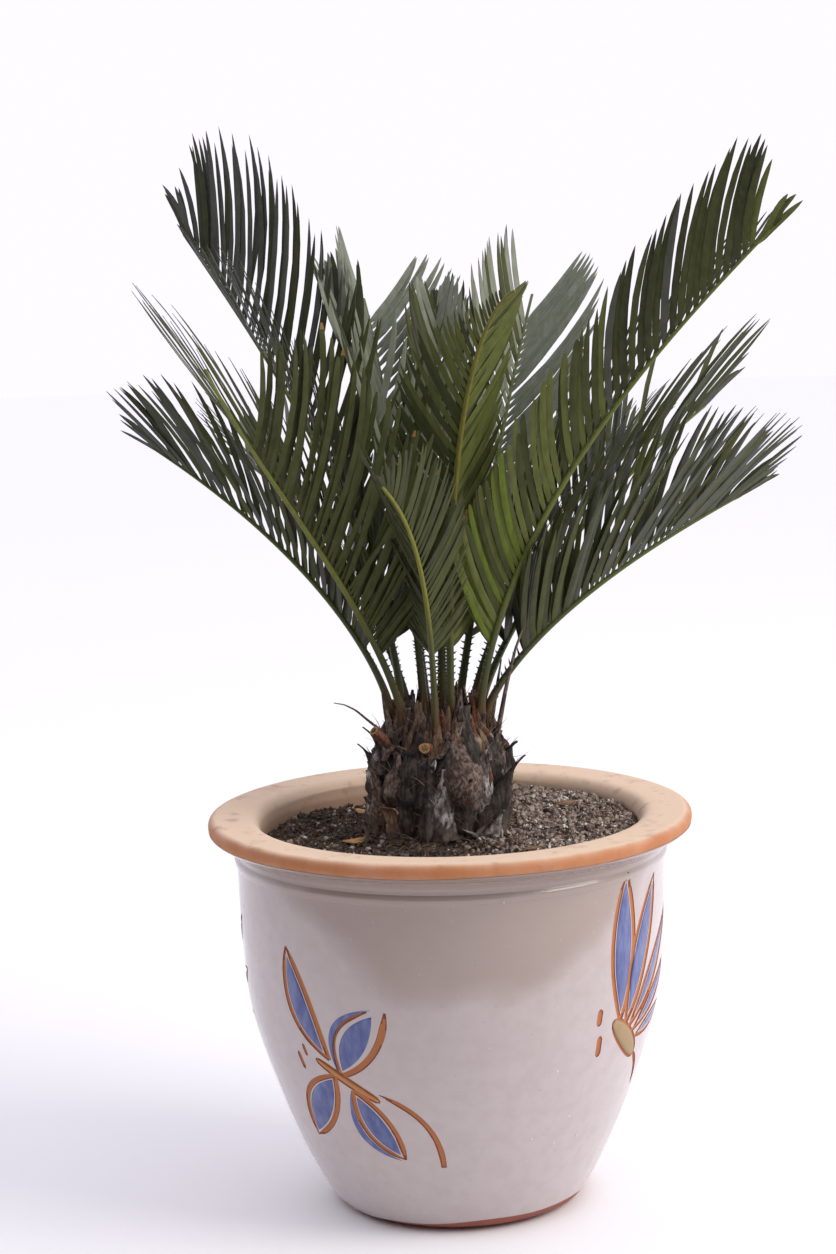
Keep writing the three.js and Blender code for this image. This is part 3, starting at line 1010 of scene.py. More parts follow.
    def dress(self) -> None:
        """Carves the ornament, gives each face its finish and puts the pot's pieces in the scene."""
        glaze, clay = StonewareGlaze().build(), BareClay().build()
        foot = BareClay.even("bare_foot_clay", "#94594a", "#5f3a32").build()
        groove = BareClay.even("groove_clay", "#b5744a", "#935737").build()
        # The shallow walls of the grooves get this darker clay as painted shade; the floors get the groove
        # clay.
        seam = BareClay.even("groove_edge_clay", "#87492d", "#633422").build()
        cream = BareClay.even("cream_slip", "#a68e6c", "#8c7452").build()
        raised = BareClay.even("raised_clay", "#bd8450", "#9a6038").build()
        blue = BrushedGlaze().build()
        pot = place_piece(self.build(), "pot_body", (glaze, clay, foot, groove, seam), ("pot",))
        cutters = bpy.data.collections.new("groove_cutters")
        bpy.context.scene.collection.children.link(cutters)
        for motif in (DRAGONFLY, FLOWER):
            for turn in motif.turns:
                for number, stroke in enumerate(self.strokes_of(motif)):
                    cutters.objects.link(self.carve(stroke, turn, f"cutter_{turn:.0f}_{number}"))
        modifier = pot.modifiers.new("grooves", "BOOLEAN")
        modifier.operation, modifier.solver = "DIFFERENCE", "MANIFOLD"
        modifier.operand_type, modifier.collection = "COLLECTION", cutters
        carved = bpy.data.meshes.new_from_object(pot.evaluated_get(bpy.context.evaluated_depsgraph_get()))
        pot.modifiers.remove(modifier)
        for cutter in list(cutters.objects):
            bpy.data.objects.remove(cutter)
        bpy.data.collections.remove(cutters)
        lowest, highest = self.carved_zone
        edge, floor, deepest = self.groove_depths
        for polygon in carved.polygons:
            x, y, z = (value / MM for value in polygon.center)
            sunk = self.skin(azimuth_of(x, y), z) - math.hypot(x, y)
            if lowest < z < highest and edge < sunk < deepest:
                # Floors get the groove clay and the shallower walls the darker clay of painted shade.
                polygon.material_index = 3 if sunk > floor else 4
            polygon.use_smooth = True
        carved.set_sharp_from_angle(angle=math.radians(32))
        pot.data = carved
        grooves = sum(polygon.material_index >= 3 for polygon in carved.polygons)
        if not grooves:
            raise RuntimeError("the grooves were not carved")
        log.info("pot_body carved: %d faces, %d of them in grooves", len(carved.polygons), grooves)
        place_piece(self.ornament(), "ornament_inlays", (blue, cream, raised))
        ash = BrushedGlaze("ash_glaze", "#dcd3cf", "#f3eeeb").build()
        place_piece(self.blister_rings(), "glaze_blisters", (ash,))


# Soil


@dataclass
class SoilBed:
    """Potting soil, a little under the rim: a bumpy bed with crumbs, perlite, fibres and leaf scraps."""

    level: float = 306.0
    wall_radius: float = 155.6
    depth: float = 60.0
    trunk_axis: Point = (-9.0, 0.0)
    trunk_radius: float = 50.0
    crumbs: int = 8600
    grains: int = 1500
    fibres: int = 240
    slope: float = 11.0
    litter: int = 620
    litter_height: float = 10.0
    segments: int = 190

    def off_trunk(self, x: float, y: float) -> float:
        """Returns how far a place is from the foot of the trunk."""
        return math.hypot(x - self.trunk_axis[0], y - self.trunk_axis[1]) - self.trunk_radius

    def height(self, x: float, y: float) -> float:
        """Returns the height of the soil's surface at a place, mounded a little against the trunk."""
        mound = 5.0 * (1 - smooth((self.off_trunk(x, y) + 5) / 75))
        wall = -1.5 * smooth((math.hypot(x, y) - 140) / 16)
        here = (x, y, 0)
        lumps = 3.2 * roughly(here, 34) + 2.2 * roughly(here, 12, 3) + 1.2 * roughly(here, 5, 7)
        rise = self.slope * smooth((x + 0.4 * y + 20) / 150)
        return self.level + 0.5 + mound + wall + lumps + rise

    def build(self) -> bpy.types.Mesh:
        """Returns the bed as a closed mesh: a spun disc whose top is pushed into lumps."""
        outline = [(radius, self.level) for radius in np.linspace(0, self.wall_radius, 60)]
        outline += [(self.wall_radius - 1, self.level - self.depth), (0, self.level - self.depth)]
        bm = spun(outline, self.segments)
        for vert in bm.verts:
            if vert.co.z > self.level - 1:
                vert.co.z = self.height(vert.co.x, vert.co.y)
        return finish_mesh(bm, "soil_bed")

    def scatter(self, rng: np.random.Generator, count: int,
                near: Callable[[float, float], float]) -> np.ndarray:
        """Strews places over the bed.

        Args:
            rng: The seeded source of chance.
            count: How many places.
            near: Chance from 0 to 1 that a place at x and y is kept.

        Returns:
            The places, as rows of x, y and the bed's height.
        """
        kept: list[tuple[float, float, float]] = []
        while len(kept) < count:
            reach = self.wall_radius * 0.985 * math.sqrt(rng.random())
            turn = rng.random() * 2 * math.pi
            x, y = reach * math.cos(turn), reach * math.sin(turn)
            if self.off_trunk(x, y) > 0 and rng.random() < near(x, y):
                kept.append((x, y, self.height(x, y)))
        return np.array(kept)

    def lumps(self, name: str, rng: np.random.Generator, places: np.ndarray, sizes: Point, lift: float,
              kinds: np.ndarray) -> bpy.types.Mesh:
        """Joins rough pebbles of a few dozen faces, each turned, stretched and sunk in its own way.

        Args:
            name: Name of the mesh.
            rng: The seeded source of chance.
            places: Where the pebbles lie.
            sizes: The smallest and the largest diameter.
            lift: Height of a pebble's middle over the bed, as a share of its size.
            kinds: The number of each pebble's finish.

        Returns:
            The joined mesh.
        """
        bm = bmesh.new()
        bmesh.ops.create_icosphere(bm, subdivisions=1, radius=0.5)
        template = template_mesh(bm, f"{name}_template")
        ball = corners_of(template)
        shaped = np.empty((len(places), len(ball), 3))
        for i, place in enumerate(places):
            size = mix(*sizes, rng.random() ** 3)
            spin = Matrix.Rotation(rng.random() * 6.28, 3, Vector(rng.normal(size=3)).normalized())
            rough = ball * (1 + 0.28 * rng.normal(size=(len(ball), 1))) * (size * rng.uniform(0.7, 1.2, 3))
            shaped[i] = rough @ np.array(spin).T + place + UP * size * lift
        return joined_copies(name, template, shaped, kinds, turns_sharp=40)

    def strands(self, name: str, rng: np.random.Generator, count: int) -> bpy.types.Mesh:
        """Returns root fibres that lie on the bed, each a short curved rod."""
        bm = bmesh.new()
        for x, y, z in self.scatter(rng, count, lambda x, y: 1.0 if x < 60 else 0.45):
            heading, bend = rng.random() * 360, rng.normal() * 50
            length, radius = rng.uniform(9, 26), rng.uniform(0.22, 0.5)
            if math.hypot(x, y) + length > self.wall_radius - 3:
                heading = azimuth_of(-x, -y)
            point = np.array([x, y, z + 1.0])
            path = []
            for step in range(6):
                path.append(point.copy())
                point = point + outward(heading + bend * step / 5) * length / 5
                point[2] = self.height(point[0], point[1]) + 0.8 + 1.6 * math.sin(math.pi * step / 5)
            tube(bm, round_rings(np.array(path), [radius] * 5 + [radius * 0.3], 4, face=UP))
        return finish_mesh(bm, name, weld=0.001)

    def perlite_share(self, x: float, y: float) -> float:
        """Returns the chance of a perlite grain at a place: in patches, and most on the right."""
        patch = 0.4 + 0.6 * (roughly((x, y, 0), 15, 9) > 0)
        return 0.04 + 0.96 * smooth((x - 20) / 55) * math.exp(-((x - 85) / 55) ** 2) * patch

    def heap(self, rng: np.random.Generator) -> np.ndarray:
        """Returns places in the litter of rotted leaf bases that is heaped against the trunk."""
        places = self.scatter(rng, self.litter, lambda x, y: math.exp(-(self.off_trunk(x, y) / 8) ** 2))
        off = np.array([self.off_trunk(x, y) for x, y, _ in places])
        places[:, 2] += self.litter_height * np.exp(-off / 4) * rng.random(self.litter)
        return places

    def scraps(self) -> bpy.types.Mesh:
        """Returns the few dry leaf scraps and bark chips on the bed, thin curled ovals."""
        bm = bmesh.new()
        scraps = ((-78, -32, 12, 7.5, 35, 0), (-58, -21, 9, 6, -20, 1), (-97, -113, 8, 5.5, 10, 2),
                  (-2, -124, 7, 5, 60, 0), (-88, -117, 6, 4, -50, 2), (96, 40, 11, 6, 15, 1),
                  (40, 105, 12, 7, 80, 0), (-70, 88, 13, 7, -35, 0), (64, -88, 8, 3.5, 25, 1))
        for x, y, long, wide, turn, kind in scraps:
            grid = bmesh.ops.create_circle(bm, cap_ends=False, segments=14, radius=1)
            face = bmesh.ops.contextual_create(bm, geom=grid["verts"])["faces"]
            inner = bmesh.ops.inset_region(bm, faces=face, thickness=0.5, depth=0.0)
            for piece in (*face, *inner["faces"]):
                piece.material_index = kind
            verts = list({v for piece in (*face, *inner["faces"]) for v in piece.verts})
            spin = Matrix.Rotation(math.radians(turn), 3, "Z")
            for vert in verts:
                u, v = vert.co.x, vert.co.y
                flat = spin @ Vector((u * long, v * wide * (1 - 0.4 * u * u), 0))
                curl = 0.22 * long * u * u + 0.1 * wide * v * v
                vert.co = Vector((x + flat.x, y + flat.y, self.height(x, y) + 2.2 + curl))
            for vert in extruded(bm, [*face, *inner["faces"]]):
                vert.co.z += 0.8
        return finish_mesh(bm, "leaf_scraps", weld=0.001)

    def dress(self) -> None:
        """Puts the bed and everything that lies on it in the scene."""
        rng = np.random.default_rng(11)
        dark = Earthy("potting_soil", "#2a211a", "#54463a", 3.0, 26, "#796b5e", 0.58).build()
        crumb = Earthy("soil_crumb", "#30261e", "#5e4f44", 2.5).build()
        clod = Earthy("soil_clod", "#5d4e45", "#93847a", 2.5).build()
        tawny = Earthy("tawny_crumb", "#7f6f64", "#b6a599", 2.0).build()
        perlite = Earthy("perlite", "#c6bcb0", "#f0eae1", 1.5).build()
        dusty = Earthy("dusty_perlite", "#8a7a6b", "#c4b6a6", 1.5).build()
        fibre = Earthy("root_fibre", "#4a3a2c", "#8a745c", 4.0).build()
        tan = Earthy("dry_leaf_scrap", "#a87a44", "#caa06a", 6.0).build()
        brown = Earthy("bark_chip", "#5f4632", "#8a6c50", 5.0).build()
        straw = Earthy("straw_scrap", "#c9bd74", "#e6deaa", 4.0).build()
        place_piece(self.build(), "soil_bed", (dark,), ("soil",))
        anywhere = self.scatter(rng, self.crumbs, lambda x, y: 1.0)
        paler = np.clip(anywhere[:, 0] / 60, 0.0, 1.0) * 0.87 + 0.1
        kinds = np.where(rng.random(self.crumbs) < paler, rng.integers(2, 4, self.crumbs),
                         rng.integers(0, 2, self.crumbs))
        crumbs = self.lumps("soil_crumbs", rng, anywhere, (1.1, 6.4), 0.06, kinds)
        place_piece(crumbs, "soil_crumbs", (dark, crumb, clod, tawny))
        right = self.scatter(rng, self.grains, self.perlite_share)
        grains = self.lumps("perlite_grains", rng, right, (1.0, 3.8), 0.34, rng.integers(0, 2, self.grains))
        place_piece(grains, "perlite_grains", (perlite, dusty))
        place_piece(self.strands("root_fibres", rng, self.fibres), "root_fibres", (fibre,))
        place_piece(self.scraps(), "leaf_scraps", (tan, brown, straw))
        rotted = Earthy("rotted_leaf_base", "#2e2520", "#66574c", 2.0).build()
        mouldy = Earthy("mouldy_litter", "#645a54", "#b0a8a1", 2.5).build()
        heaped = self.heap(rng)
        kinds = (rng.random(self.litter) < 0.22).astype(int)
        litter = self.lumps("rotted_litter", rng, heaped, (1.8, 9.0), 0.1, kinds)
        place_piece(litter, "rotted_litter", (rotted, mouldy))


# Trunk


@dataclass(frozen=True)
class Stub:
    """A cut frond stem: azimuth, height over the soil, rise from level, and length."""

    azimuth: float
    height: float
    rise: float
    length: float


@dataclass(frozen=True)
class Bract:
    """One old leaf base: its foot's azimuth and height, its length and width, and how its tip is.

    The flare is how far the tip stands off the trunk, blunt the tip's width as a share, and proud how far the
    whole base stands off. The kind is the number of its finish.
    """

    azimuth: float
    height: float
    length: float
    width: float
    flare: float
    blunt: float
    kind: int
    proud: float = 1.0
    bulge: float = 7.5
    turn: float = 2.0
    seed: float = 0.0


BRACTS = (
    Bract(57, 8, 66, 38, 27, 0.05, 0, 5.0, 7, 4, 41),
    Bract(47, -2, 32, 21, 8, 0.2, 3, 6.5, 5, 3, 42),
    Bract(-9, 12, 96, 19, 9, 0.1, 0, 4.5, 9, -1, 43),
    Bract(0, 10, 58, 40, 7, 0.06, 3, 3.6, 6, 3, 44),
    Bract(23, 45, 58, 37, 4, 0.2, 1, 6.5, 9, -1, 45),
    Bract(44, 50, 34, 14, 4, 0.5, 2, 3.0, 4, 1, 46),
    Bract(-84, 44, 50, 17, 27, 0.06, 0, 3.0, 3, -3, 47),
    Bract(-92, 38, 40, 15, 20, 0.06, 0, 3.0, 3, -4, 48),
    Bract(-41, 10, 27, 22, 13, 0.6, 5, 4.0, 5, 3, 49),
    Bract(-62, 14, 50, 26, 12, 0.12, 1, 3.0, 7, 4, 50),
    Bract(-30, 34, 46, 22, 8, 0.2, 0, 3.0, 6, 4, 51),
    Bract(88, 52, 26, 13, 15, 0.5, 0, 4.0, 6, 2, 52),
)


@dataclass
class PalmTrunk:
    """A short stout trunk that is covered in old leaf bases, set in a spiral by the source's rule."""

    centre: tuple[float, float, float] = (-9.0, 0.0, 306.3)
    height: float = 102.0
    lean: float = 3.0
    outline: tuple[Point, ...] = ((56, 0), (53, 8), (54, 34), (53, 58), (47, 76), (38, 90), (22, 99),
                                  (10, 102))
    scale_count: int = 30
    scale_heights: Point = (4.0, 64.0)
    scale_lengths: Point = (34.0, 48.0)
    scale_width: float = 30.0
    scale_foot: float = 10.0
    skirt_count: int = 22
    tip_flares: Point = (6.0, 17.0)
    core_segments: int = 96
    sliver_count: int = 300
    hair_count: int = 420
    stub_radius: float = 4.9
    stub_sunk: float = 7.0
    stubs: tuple[Stub, ...] = (Stub(-58, 76, 42, 24), Stub(-12, 81, 12, 16), Stub(108, 66, 24, 11),
                               Stub(150, 72, 30, 20), Stub(-138, 70, 34, 16))

    def radius(self, height: float) -> float:
        """Returns the core's radius at a height over the soil."""
        return float(np.interp(height, [z for _, z in self.outline], [r for r, _ in self.outline]))

    def point(self, azimuth: float, distance: float, height: float) -> np.ndarray:
        """Returns the point at an azimuth, a distance from the leaning axis and a height over the soil."""
        lean = np.array([self.lean * height / self.height, 0.0, height])
        return outward(azimuth) * distance + lean + np.array(self.centre)

    def core(self) -> bpy.types.Mesh:
        """Returns the knobbly core as a closed mesh, a little inside the scales."""
        line = [(0.0, -14.0), (self.outline[0][0] - 3, -14.0), *spline(self.outline, 5), (0.0, self.height)]
        bm = spun(line, self.core_segments)
        for vert in bm.verts:
            x, y, z = vert.co
            reach = math.hypot(x, y)
            rough = 2.4 * roughly((x, y, z * 0.5), 9) + 1.4 * roughly(vert.co, 3.5, 5) - 2
            vert.co = self.point(azimuth_of(x, y), max(0.0, reach + rough * smooth(reach / 12)), z)
        return finish_mesh(bm, "trunk_core")

    def spiral(self) -> list[Bract]:
        """Returns the old leaf bases: the source's spiral, a ragged skirt and those that stand out."""
        bracts = []
        for number in range(self.scale_count):
            share = number / (self.scale_count - 1)
            length = mix(*self.scale_lengths, share) * (1 + 0.15 * math.sin(number * 2.4))
            bracts.append(Bract(
                azimuth=number * GOLDEN_TURN, height=mix(*self.scale_heights, share), length=length,
                width=self.scale_width, flare=mix(*self.tip_flares, max(0.0, math.sin(number * 1.7))),
                blunt=0.34 if math.sin(number * 3.1) > 0.35 else 0.07, kind=(0, 0, 3, 0, 1, 0, 0)[number % 7],
                seed=number))
        for number in range(self.skirt_count):
            swing = math.sin(number * 1.9)
            bracts.append(Bract(
                azimuth=number * GOLDEN_TURN + 40, height=-5 + 3 * swing, length=17 + 6 * swing, width=17,
                flare=9 + 4 * math.sin(number * 2.7), blunt=0.3 + 0.15 * swing, kind=(1, 0, 3, 1)[number % 4],
                proud=3.5, bulge=4, seed=number + 60))
        return [*bracts, *BRACTS]

    def scale(self, bm: bmesh.types.BMesh, bract: Bract) -> None:
        """Adds one old leaf base: sunk at its foot, keeled in the middle, drawn to a tip off the trunk.

        Args:
            bm: The bmesh that the leaf base is added to.
            bract: Its sizes.
        """
        radius = self.radius(bract.height)
        tip_radius = self.radius(min(bract.height + bract.length, self.height - self.scale_foot))
        grid = bmesh.ops.create_grid(bm, x_segments=12, y_segments=20, size=0.5)
        for vert in grid["verts"]:
            across = 2 * vert.co.x
            along = mix(-0.22, 1.0, vert.co.y + 0.5)
            rising = smooth((along + 0.22) / 0.42)
            closing = 1 - smooth((along - 0.18) / 0.74)
            ragged = 1 + 0.16 * roughly((bract.seed * 7.0, bract.length * along, across), 4)
            wide = mix(0.62, 1.0, rising) * mix(bract.blunt, 1.0, closing) * bract.width * 0.58 * ragged
            swell = math.sin(math.pi * min(1, max(0, along * 0.9 + 0.22)))
            keel = bract.bulge * (1 - abs(across) ** 1.6) * swell
            edge = -4.6 * across ** 2 * closing
            base = mix(radius, tip_radius, smooth(along))
            off = bract.flare * max(0.0, along) ** 2.6 + keel + edge + bract.proud
            level = bract.height + bract.length * along
            girth = math.degrees(across * wide / max(18.0, base + off))
            place = self.point(bract.azimuth + girth + bract.turn * along, base + off, level)
            fibrous = 1.9 * roughly((girth * 9, level * 0.35, bract.seed * 31.0), 4.5)
            lumpy = 2.2 * roughly((girth * 3, level, bract.seed * 17.0), 9)
            vert.co = place + outward(bract.azimuth + girth) * (fibrous + lumpy) * mix(0.35, 1.0, closing)
        for vert in extruded(bm, faces_at(grid["verts"], bract.kind)):
            inwards = Vector(self.point(bract.azimuth, 0, vert.co.z - self.centre[2])) - vert.co
            inwards.z = 0
            thick = mix(7.0, 1.6, smooth((vert.co.z - self.centre[2] - bract.height) / bract.length))
            vert.co += inwards.normalized() * thick

    def scales(self) -> bpy.types.Mesh:
        """Returns all old leaf bases as one mesh."""
        bm = bmesh.new()
        for bract in self.spiral():
            self.scale(bm, bract)
        return finish_mesh(bm, "trunk_scales", weld=0.001)

    def slivers(self, rng: np.random.Generator) -> bpy.types.Mesh:
        """Returns small pointed scales and splinters between the large ones, dense round the crown."""
        bm = bmesh.new()
        bmesh.ops.create_grid(bm, x_segments=4, y_segments=7, size=0.5)
        bmesh.ops.solidify(bm, geom=list(bm.faces), thickness=0.12)
        template = template_mesh(bm, "sliver_template")
        unit_corners = corners_of(template)
        shaped = np.empty((self.sliver_count, len(unit_corners), 3))
        kinds = np.zeros(self.sliver_count, int)
        for i in range(self.sliver_count):
            crown = i % 5 < 3
            azimuth = i * GOLDEN_TURN + rng.normal() * 6
            height = rng.uniform(70, 97) if crown else rng.uniform(2, 78)
            length = rng.uniform(14, 34) if crown else rng.uniform(9, 26)
            width = rng.uniform(4.5, 10) if crown else rng.uniform(3, 9)
            flare = rng.uniform(0.0, 7) if crown else rng.uniform(0, 6)
            start = self.radius(height) + (0.5 if crown else 3.0)
            curl = rng.normal() * 8
            bent = rng.uniform(0.3, 0.75) if crown else 1.0
            for k, (u, v, w) in enumerate(unit_corners):
                along = v + 0.5
                side = 2 * u
                narrow = math.sin(math.pi * mix(0.3, 1.0, along)) ** 0.7 if along < 0.995 else 0.04
                level = height + length * along
                reach = mix(start, self.radius(min(level, 100)) + 3, along * bent) + flare * along ** 2
                reach += 1.5 * (1 - side * side) + w * 9
                turn = azimuth + curl * along + math.degrees(side * width / 2 * narrow / max(20, reach))
                shaped[i, k] = self.point(turn, reach, level)
            kinds[i] = rng.choice([1, 1, 0, 4, 4, 0, 2, 4]) if crown else rng.choice([0, 0, 1, 3, 1])
        return joined_copies("trunk_slivers", template, shaped, kinds, turns_sharp=45)

    def hairs(self, rng: np.random.Generator) -> bpy.types.Mesh:
        """Returns the brown wool and broken fibres of trunk and crown, each a thin curved rod."""
        bm = bmesh.new()
        for number in range(self.hair_count):
            crown = number % 3 != 0
            azimuth = number * GOLDEN_TURN + rng.normal() * 10
            height = rng.uniform(76, 101) if crown else rng.uniform(0, 80)
            length = rng.uniform(10, 30)
            spread = rng.uniform(-0.1, 0.5) if crown else rng.uniform(0.1, 0.7)
            swerve = rng.normal() * 14
            start = self.radius(height) + (0 if crown else 3)
            upright = 0.9 if crown else 0.75
            path = np.array([self.point(azimuth + swerve * t * t, start + length * spread * t * t,
                                        height + length * t * upright) for t in (0, 0.35, 0.7, 1.0)])
            radius = rng.uniform(0.18, 0.42)
            tube(bm, round_rings(path, (radius, radius, radius * 0.8, radius * 0.25), 4))
        return finish_mesh(bm, "trunk_hairs", weld=0.0005)

    def stub_lines(self, stub: Stub) -> tuple[np.ndarray, np.ndarray, np.ndarray, np.ndarray]:
        """Returns a cut stem's root, its direction and the two directions across it."""
        rise = math.radians(stub.rise)
        direction = outward(stub.azimuth) * math.cos(rise) + UP * math.sin(rise)
        root = self.point(stub.azimuth, self.radius(stub.height) - self.stub_sunk, stub.height)
        side = unit(np.cross(direction, UP))
        return root, direction, side, np.cross(side, direction)

    def stub(self, bm: bmesh.types.BMesh, stub: Stub) -> None:
        """Adds one cut stem with a rounded edge and a slightly sunk end."""
        root, direction, side, high = self.stub_lines(stub)
        reach = stub.length + self.stub_sunk
        steps = ((0, 1.3), (0.3, 1.14), (0.7, 1.02), (0.93, 1.0), (0.985, 0.94), (1.0, 0.8), (0.985, 0.62),
                 (0.975, 0.1))
        centres = [root + direction * reach * along for along, _ in steps]
        turns = np.arange(20) * math.pi / 10
        wobble = (1 + 0.05 * np.sin(3 * turns + stub.azimuth))[:, None]
        rings = [centre + self.stub_radius * size * wobble * oval(20, side, high * 0.9)
                 for (_, size), centre in zip(steps, centres)]
        before = set(bm.faces)
        tube(bm, rings)
        end = centres[5]
        for face in set(bm.faces) - before:
            middle = np.array(face.calc_center_median())
            face.material_index = 1 if (middle - end) @ direction > -0.035 * reach else 0

    def stub_mesh(self) -> bpy.types.Mesh:
        """Returns the cut stems, with the vessel dots on their cut ends."""
        bm = bmesh.new()
        for stub in self.stubs:
            self.stub(bm, stub)
            root, direction, side, high = self.stub_lines(stub)
            end = root + direction * (stub.length + self.stub_sunk - 0.25)
            for n in range(9):
                turn, reach = math.radians(40 * n), (2.3 if n % 2 else 1.3)
                centre = end + reach * (side * math.cos(turn) + high * math.sin(turn))
                rings = [centre + direction * lift + size * oval(6, side, high)
                         for lift, size in ((-0.4, 0.45), (0.22, 0.45), (0.3, 0.25))]
                before = set(bm.faces)
                tube(bm, rings)
                for face in set(bm.faces) - before:
                    face.material_index = 2
        return finish_mesh(bm, "cut_stems", weld=0.001)

    def dried(self) -> bpy.types.Mesh:
        """Returns the four dried thin stems: two on the left side and two withered stalks on the right."""
        bm = bmesh.new()
        twigs = (((-52, -25, 400), (-62, -27, 408), (-74, -28, 419), (-83, -29, 424), (-92, -30, 426)),
                 ((38, -14, 378), (44, -14, 408), (49, -12, 432), (57, -10, 462), (66, -8, 486)),
                 ((34, 4, 386), (39, 6, 412), (43, 8, 436), (46, 8, 452)),
                 ((-44, -22, 384), (-47, -22, 402), (-50, -21, 418), (-52, -20, 431)))
        for points, radius in zip(twigs, (1.3, 2.6, 2.2, 4.2)):
            shares = np.linspace(0, 1, 14)
            knots = np.linspace(0, 1, len(points))
            path = np.array([np.interp(shares, knots, column) for column in zip(*points)]).T
            tube(bm, round_rings(path, [mix(radius, radius * 0.28, share) for share in shares], 7))
        return finish_mesh(bm, "dried_stems", weld=0.001)

    def dress(self) -> None:
        """Puts the trunk's pieces in the scene, with the CAD trunk's place taken by the core."""
        rng = np.random.default_rng(5)
        crevice = LeafBase("shaded_core", "#12100e", "#2c2621", mould_share=0.8).build()
        black = LeafBase("charred_leaf_base", "#1c1815", "#4a413a").build()
        brown = LeafBase("brown_leaf_base", "#3e3029", "#847266", mould_share=0.66, grain=0.6).build()
        rust = LeafBase("rusty_leaf_base", "#432617", "#74462b", mould_share=0.72).build()
        mouldy = LeafBase("mouldy_leaf_base", "#2b2724", "#5b534c", mould="#c4c0bc", mould_share=0.42).build()
        tan = LeafBase("torn_leaf_base", "#5c4838", "#a58a70", mould_share=0.7).build()
        wool = LeafBase("crown_wool", "#4c3827", "#826a53", mould="#ab9885", mould_share=0.62).build()
        skin = LeafBase("cut_stem_skin", "#4a2f22", "#7c5440", mould_share=0.75).build()
        cut = Earthy("cut_stem_end", "#86663f", "#ad8a5c", 2.0).build()
        vessel = Earthy("cut_stem_vessel", "#3b2a1c", "#5a422c", 1.0).build()
        place_piece(self.core(), "trunk_core", (crevice,), ("trunk",))
        place_piece(self.scales(), "trunk_scales", (black, brown, rust, mouldy, wool, tan))
        place_piece(self.slivers(rng), "trunk_slivers", (black, brown, rust, mouldy, wool))
        place_piece(self.hairs(rng), "trunk_hairs", (wool,))
        place_piece(self.stub_mesh(), "cut_stems", (skin, cut, vessel))
        place_piece(self.dried(), "dried_stems", (brown,))


# Fronds


@dataclass(frozen=True)
class LeafArc:
    """How leaflet length swells and fades along a rib: part of a sine wave, raised to a fullness."""

    start: float = 0.2
    span: float = 0.7
    delay: float = 1.3
    fullness: float = 0.8

    def share(self, along: float) -> float:
        """Returns the length at a share of the leafy part of the rib, as a share of the longest."""
        return math.sin(math.pi * (self.start + self.span * along ** self.delay)) ** self.fullness


class Row(Enum):
    """The two rows of leaflets on a rib, as seen from the front."""

    NEAR = "near"
    FAR = "far"


@dataclass(frozen=True)
class Band:
    """A stretch of a frond whose leaflets have shades of their own, on one row or on both."""

    start: float
    end: float
    shades: tuple[Shade, ...]
    rows: tuple[Row, ...] = (Row.NEAR, Row.FAR)


@dataclass(frozen=True)
class FrondSizes:
    """One frond: where its root is, how its rib swings, rises and bends, its leaflets and its colours.

    The near row is the row of leaflets on the rib's front side. Either row can be shorter towards the tip.
    The near one can be blunt up to a share of the rib and spread wider. From bare_from on, only the kept
    share grows.
    """

    azimuth: float
    swing: float
    rise: Point
    bend: float
    length: float
    seat: float
    leaf: float
    spread: Point
    shades: tuple[Shade, ...]
    rib: str
    keel: Point = (52.0, 52.0)
    arc: LeafArc = LeafArc()
    spacing: float = 8.4
    width: float = 5.9
    roll: float = 0.0
    near_tip: float = 1.0
    far_tip: float = 1.0
    near_spread: float = 0.0
    foot_width: float = 0.95
    tip_length: float = 0.72
    spread_delay: float = 0.8
    near_blunt: float = 0.0
    bands: tuple[Band, ...] = ()
    kept: dict[Row, float] = field(default_factory=dict)
    bare_from: float = 1.0
    twist: float = 0.0
    tuft: bool = True
    stem: float = 4.1
    spine_growth: float = 0.3
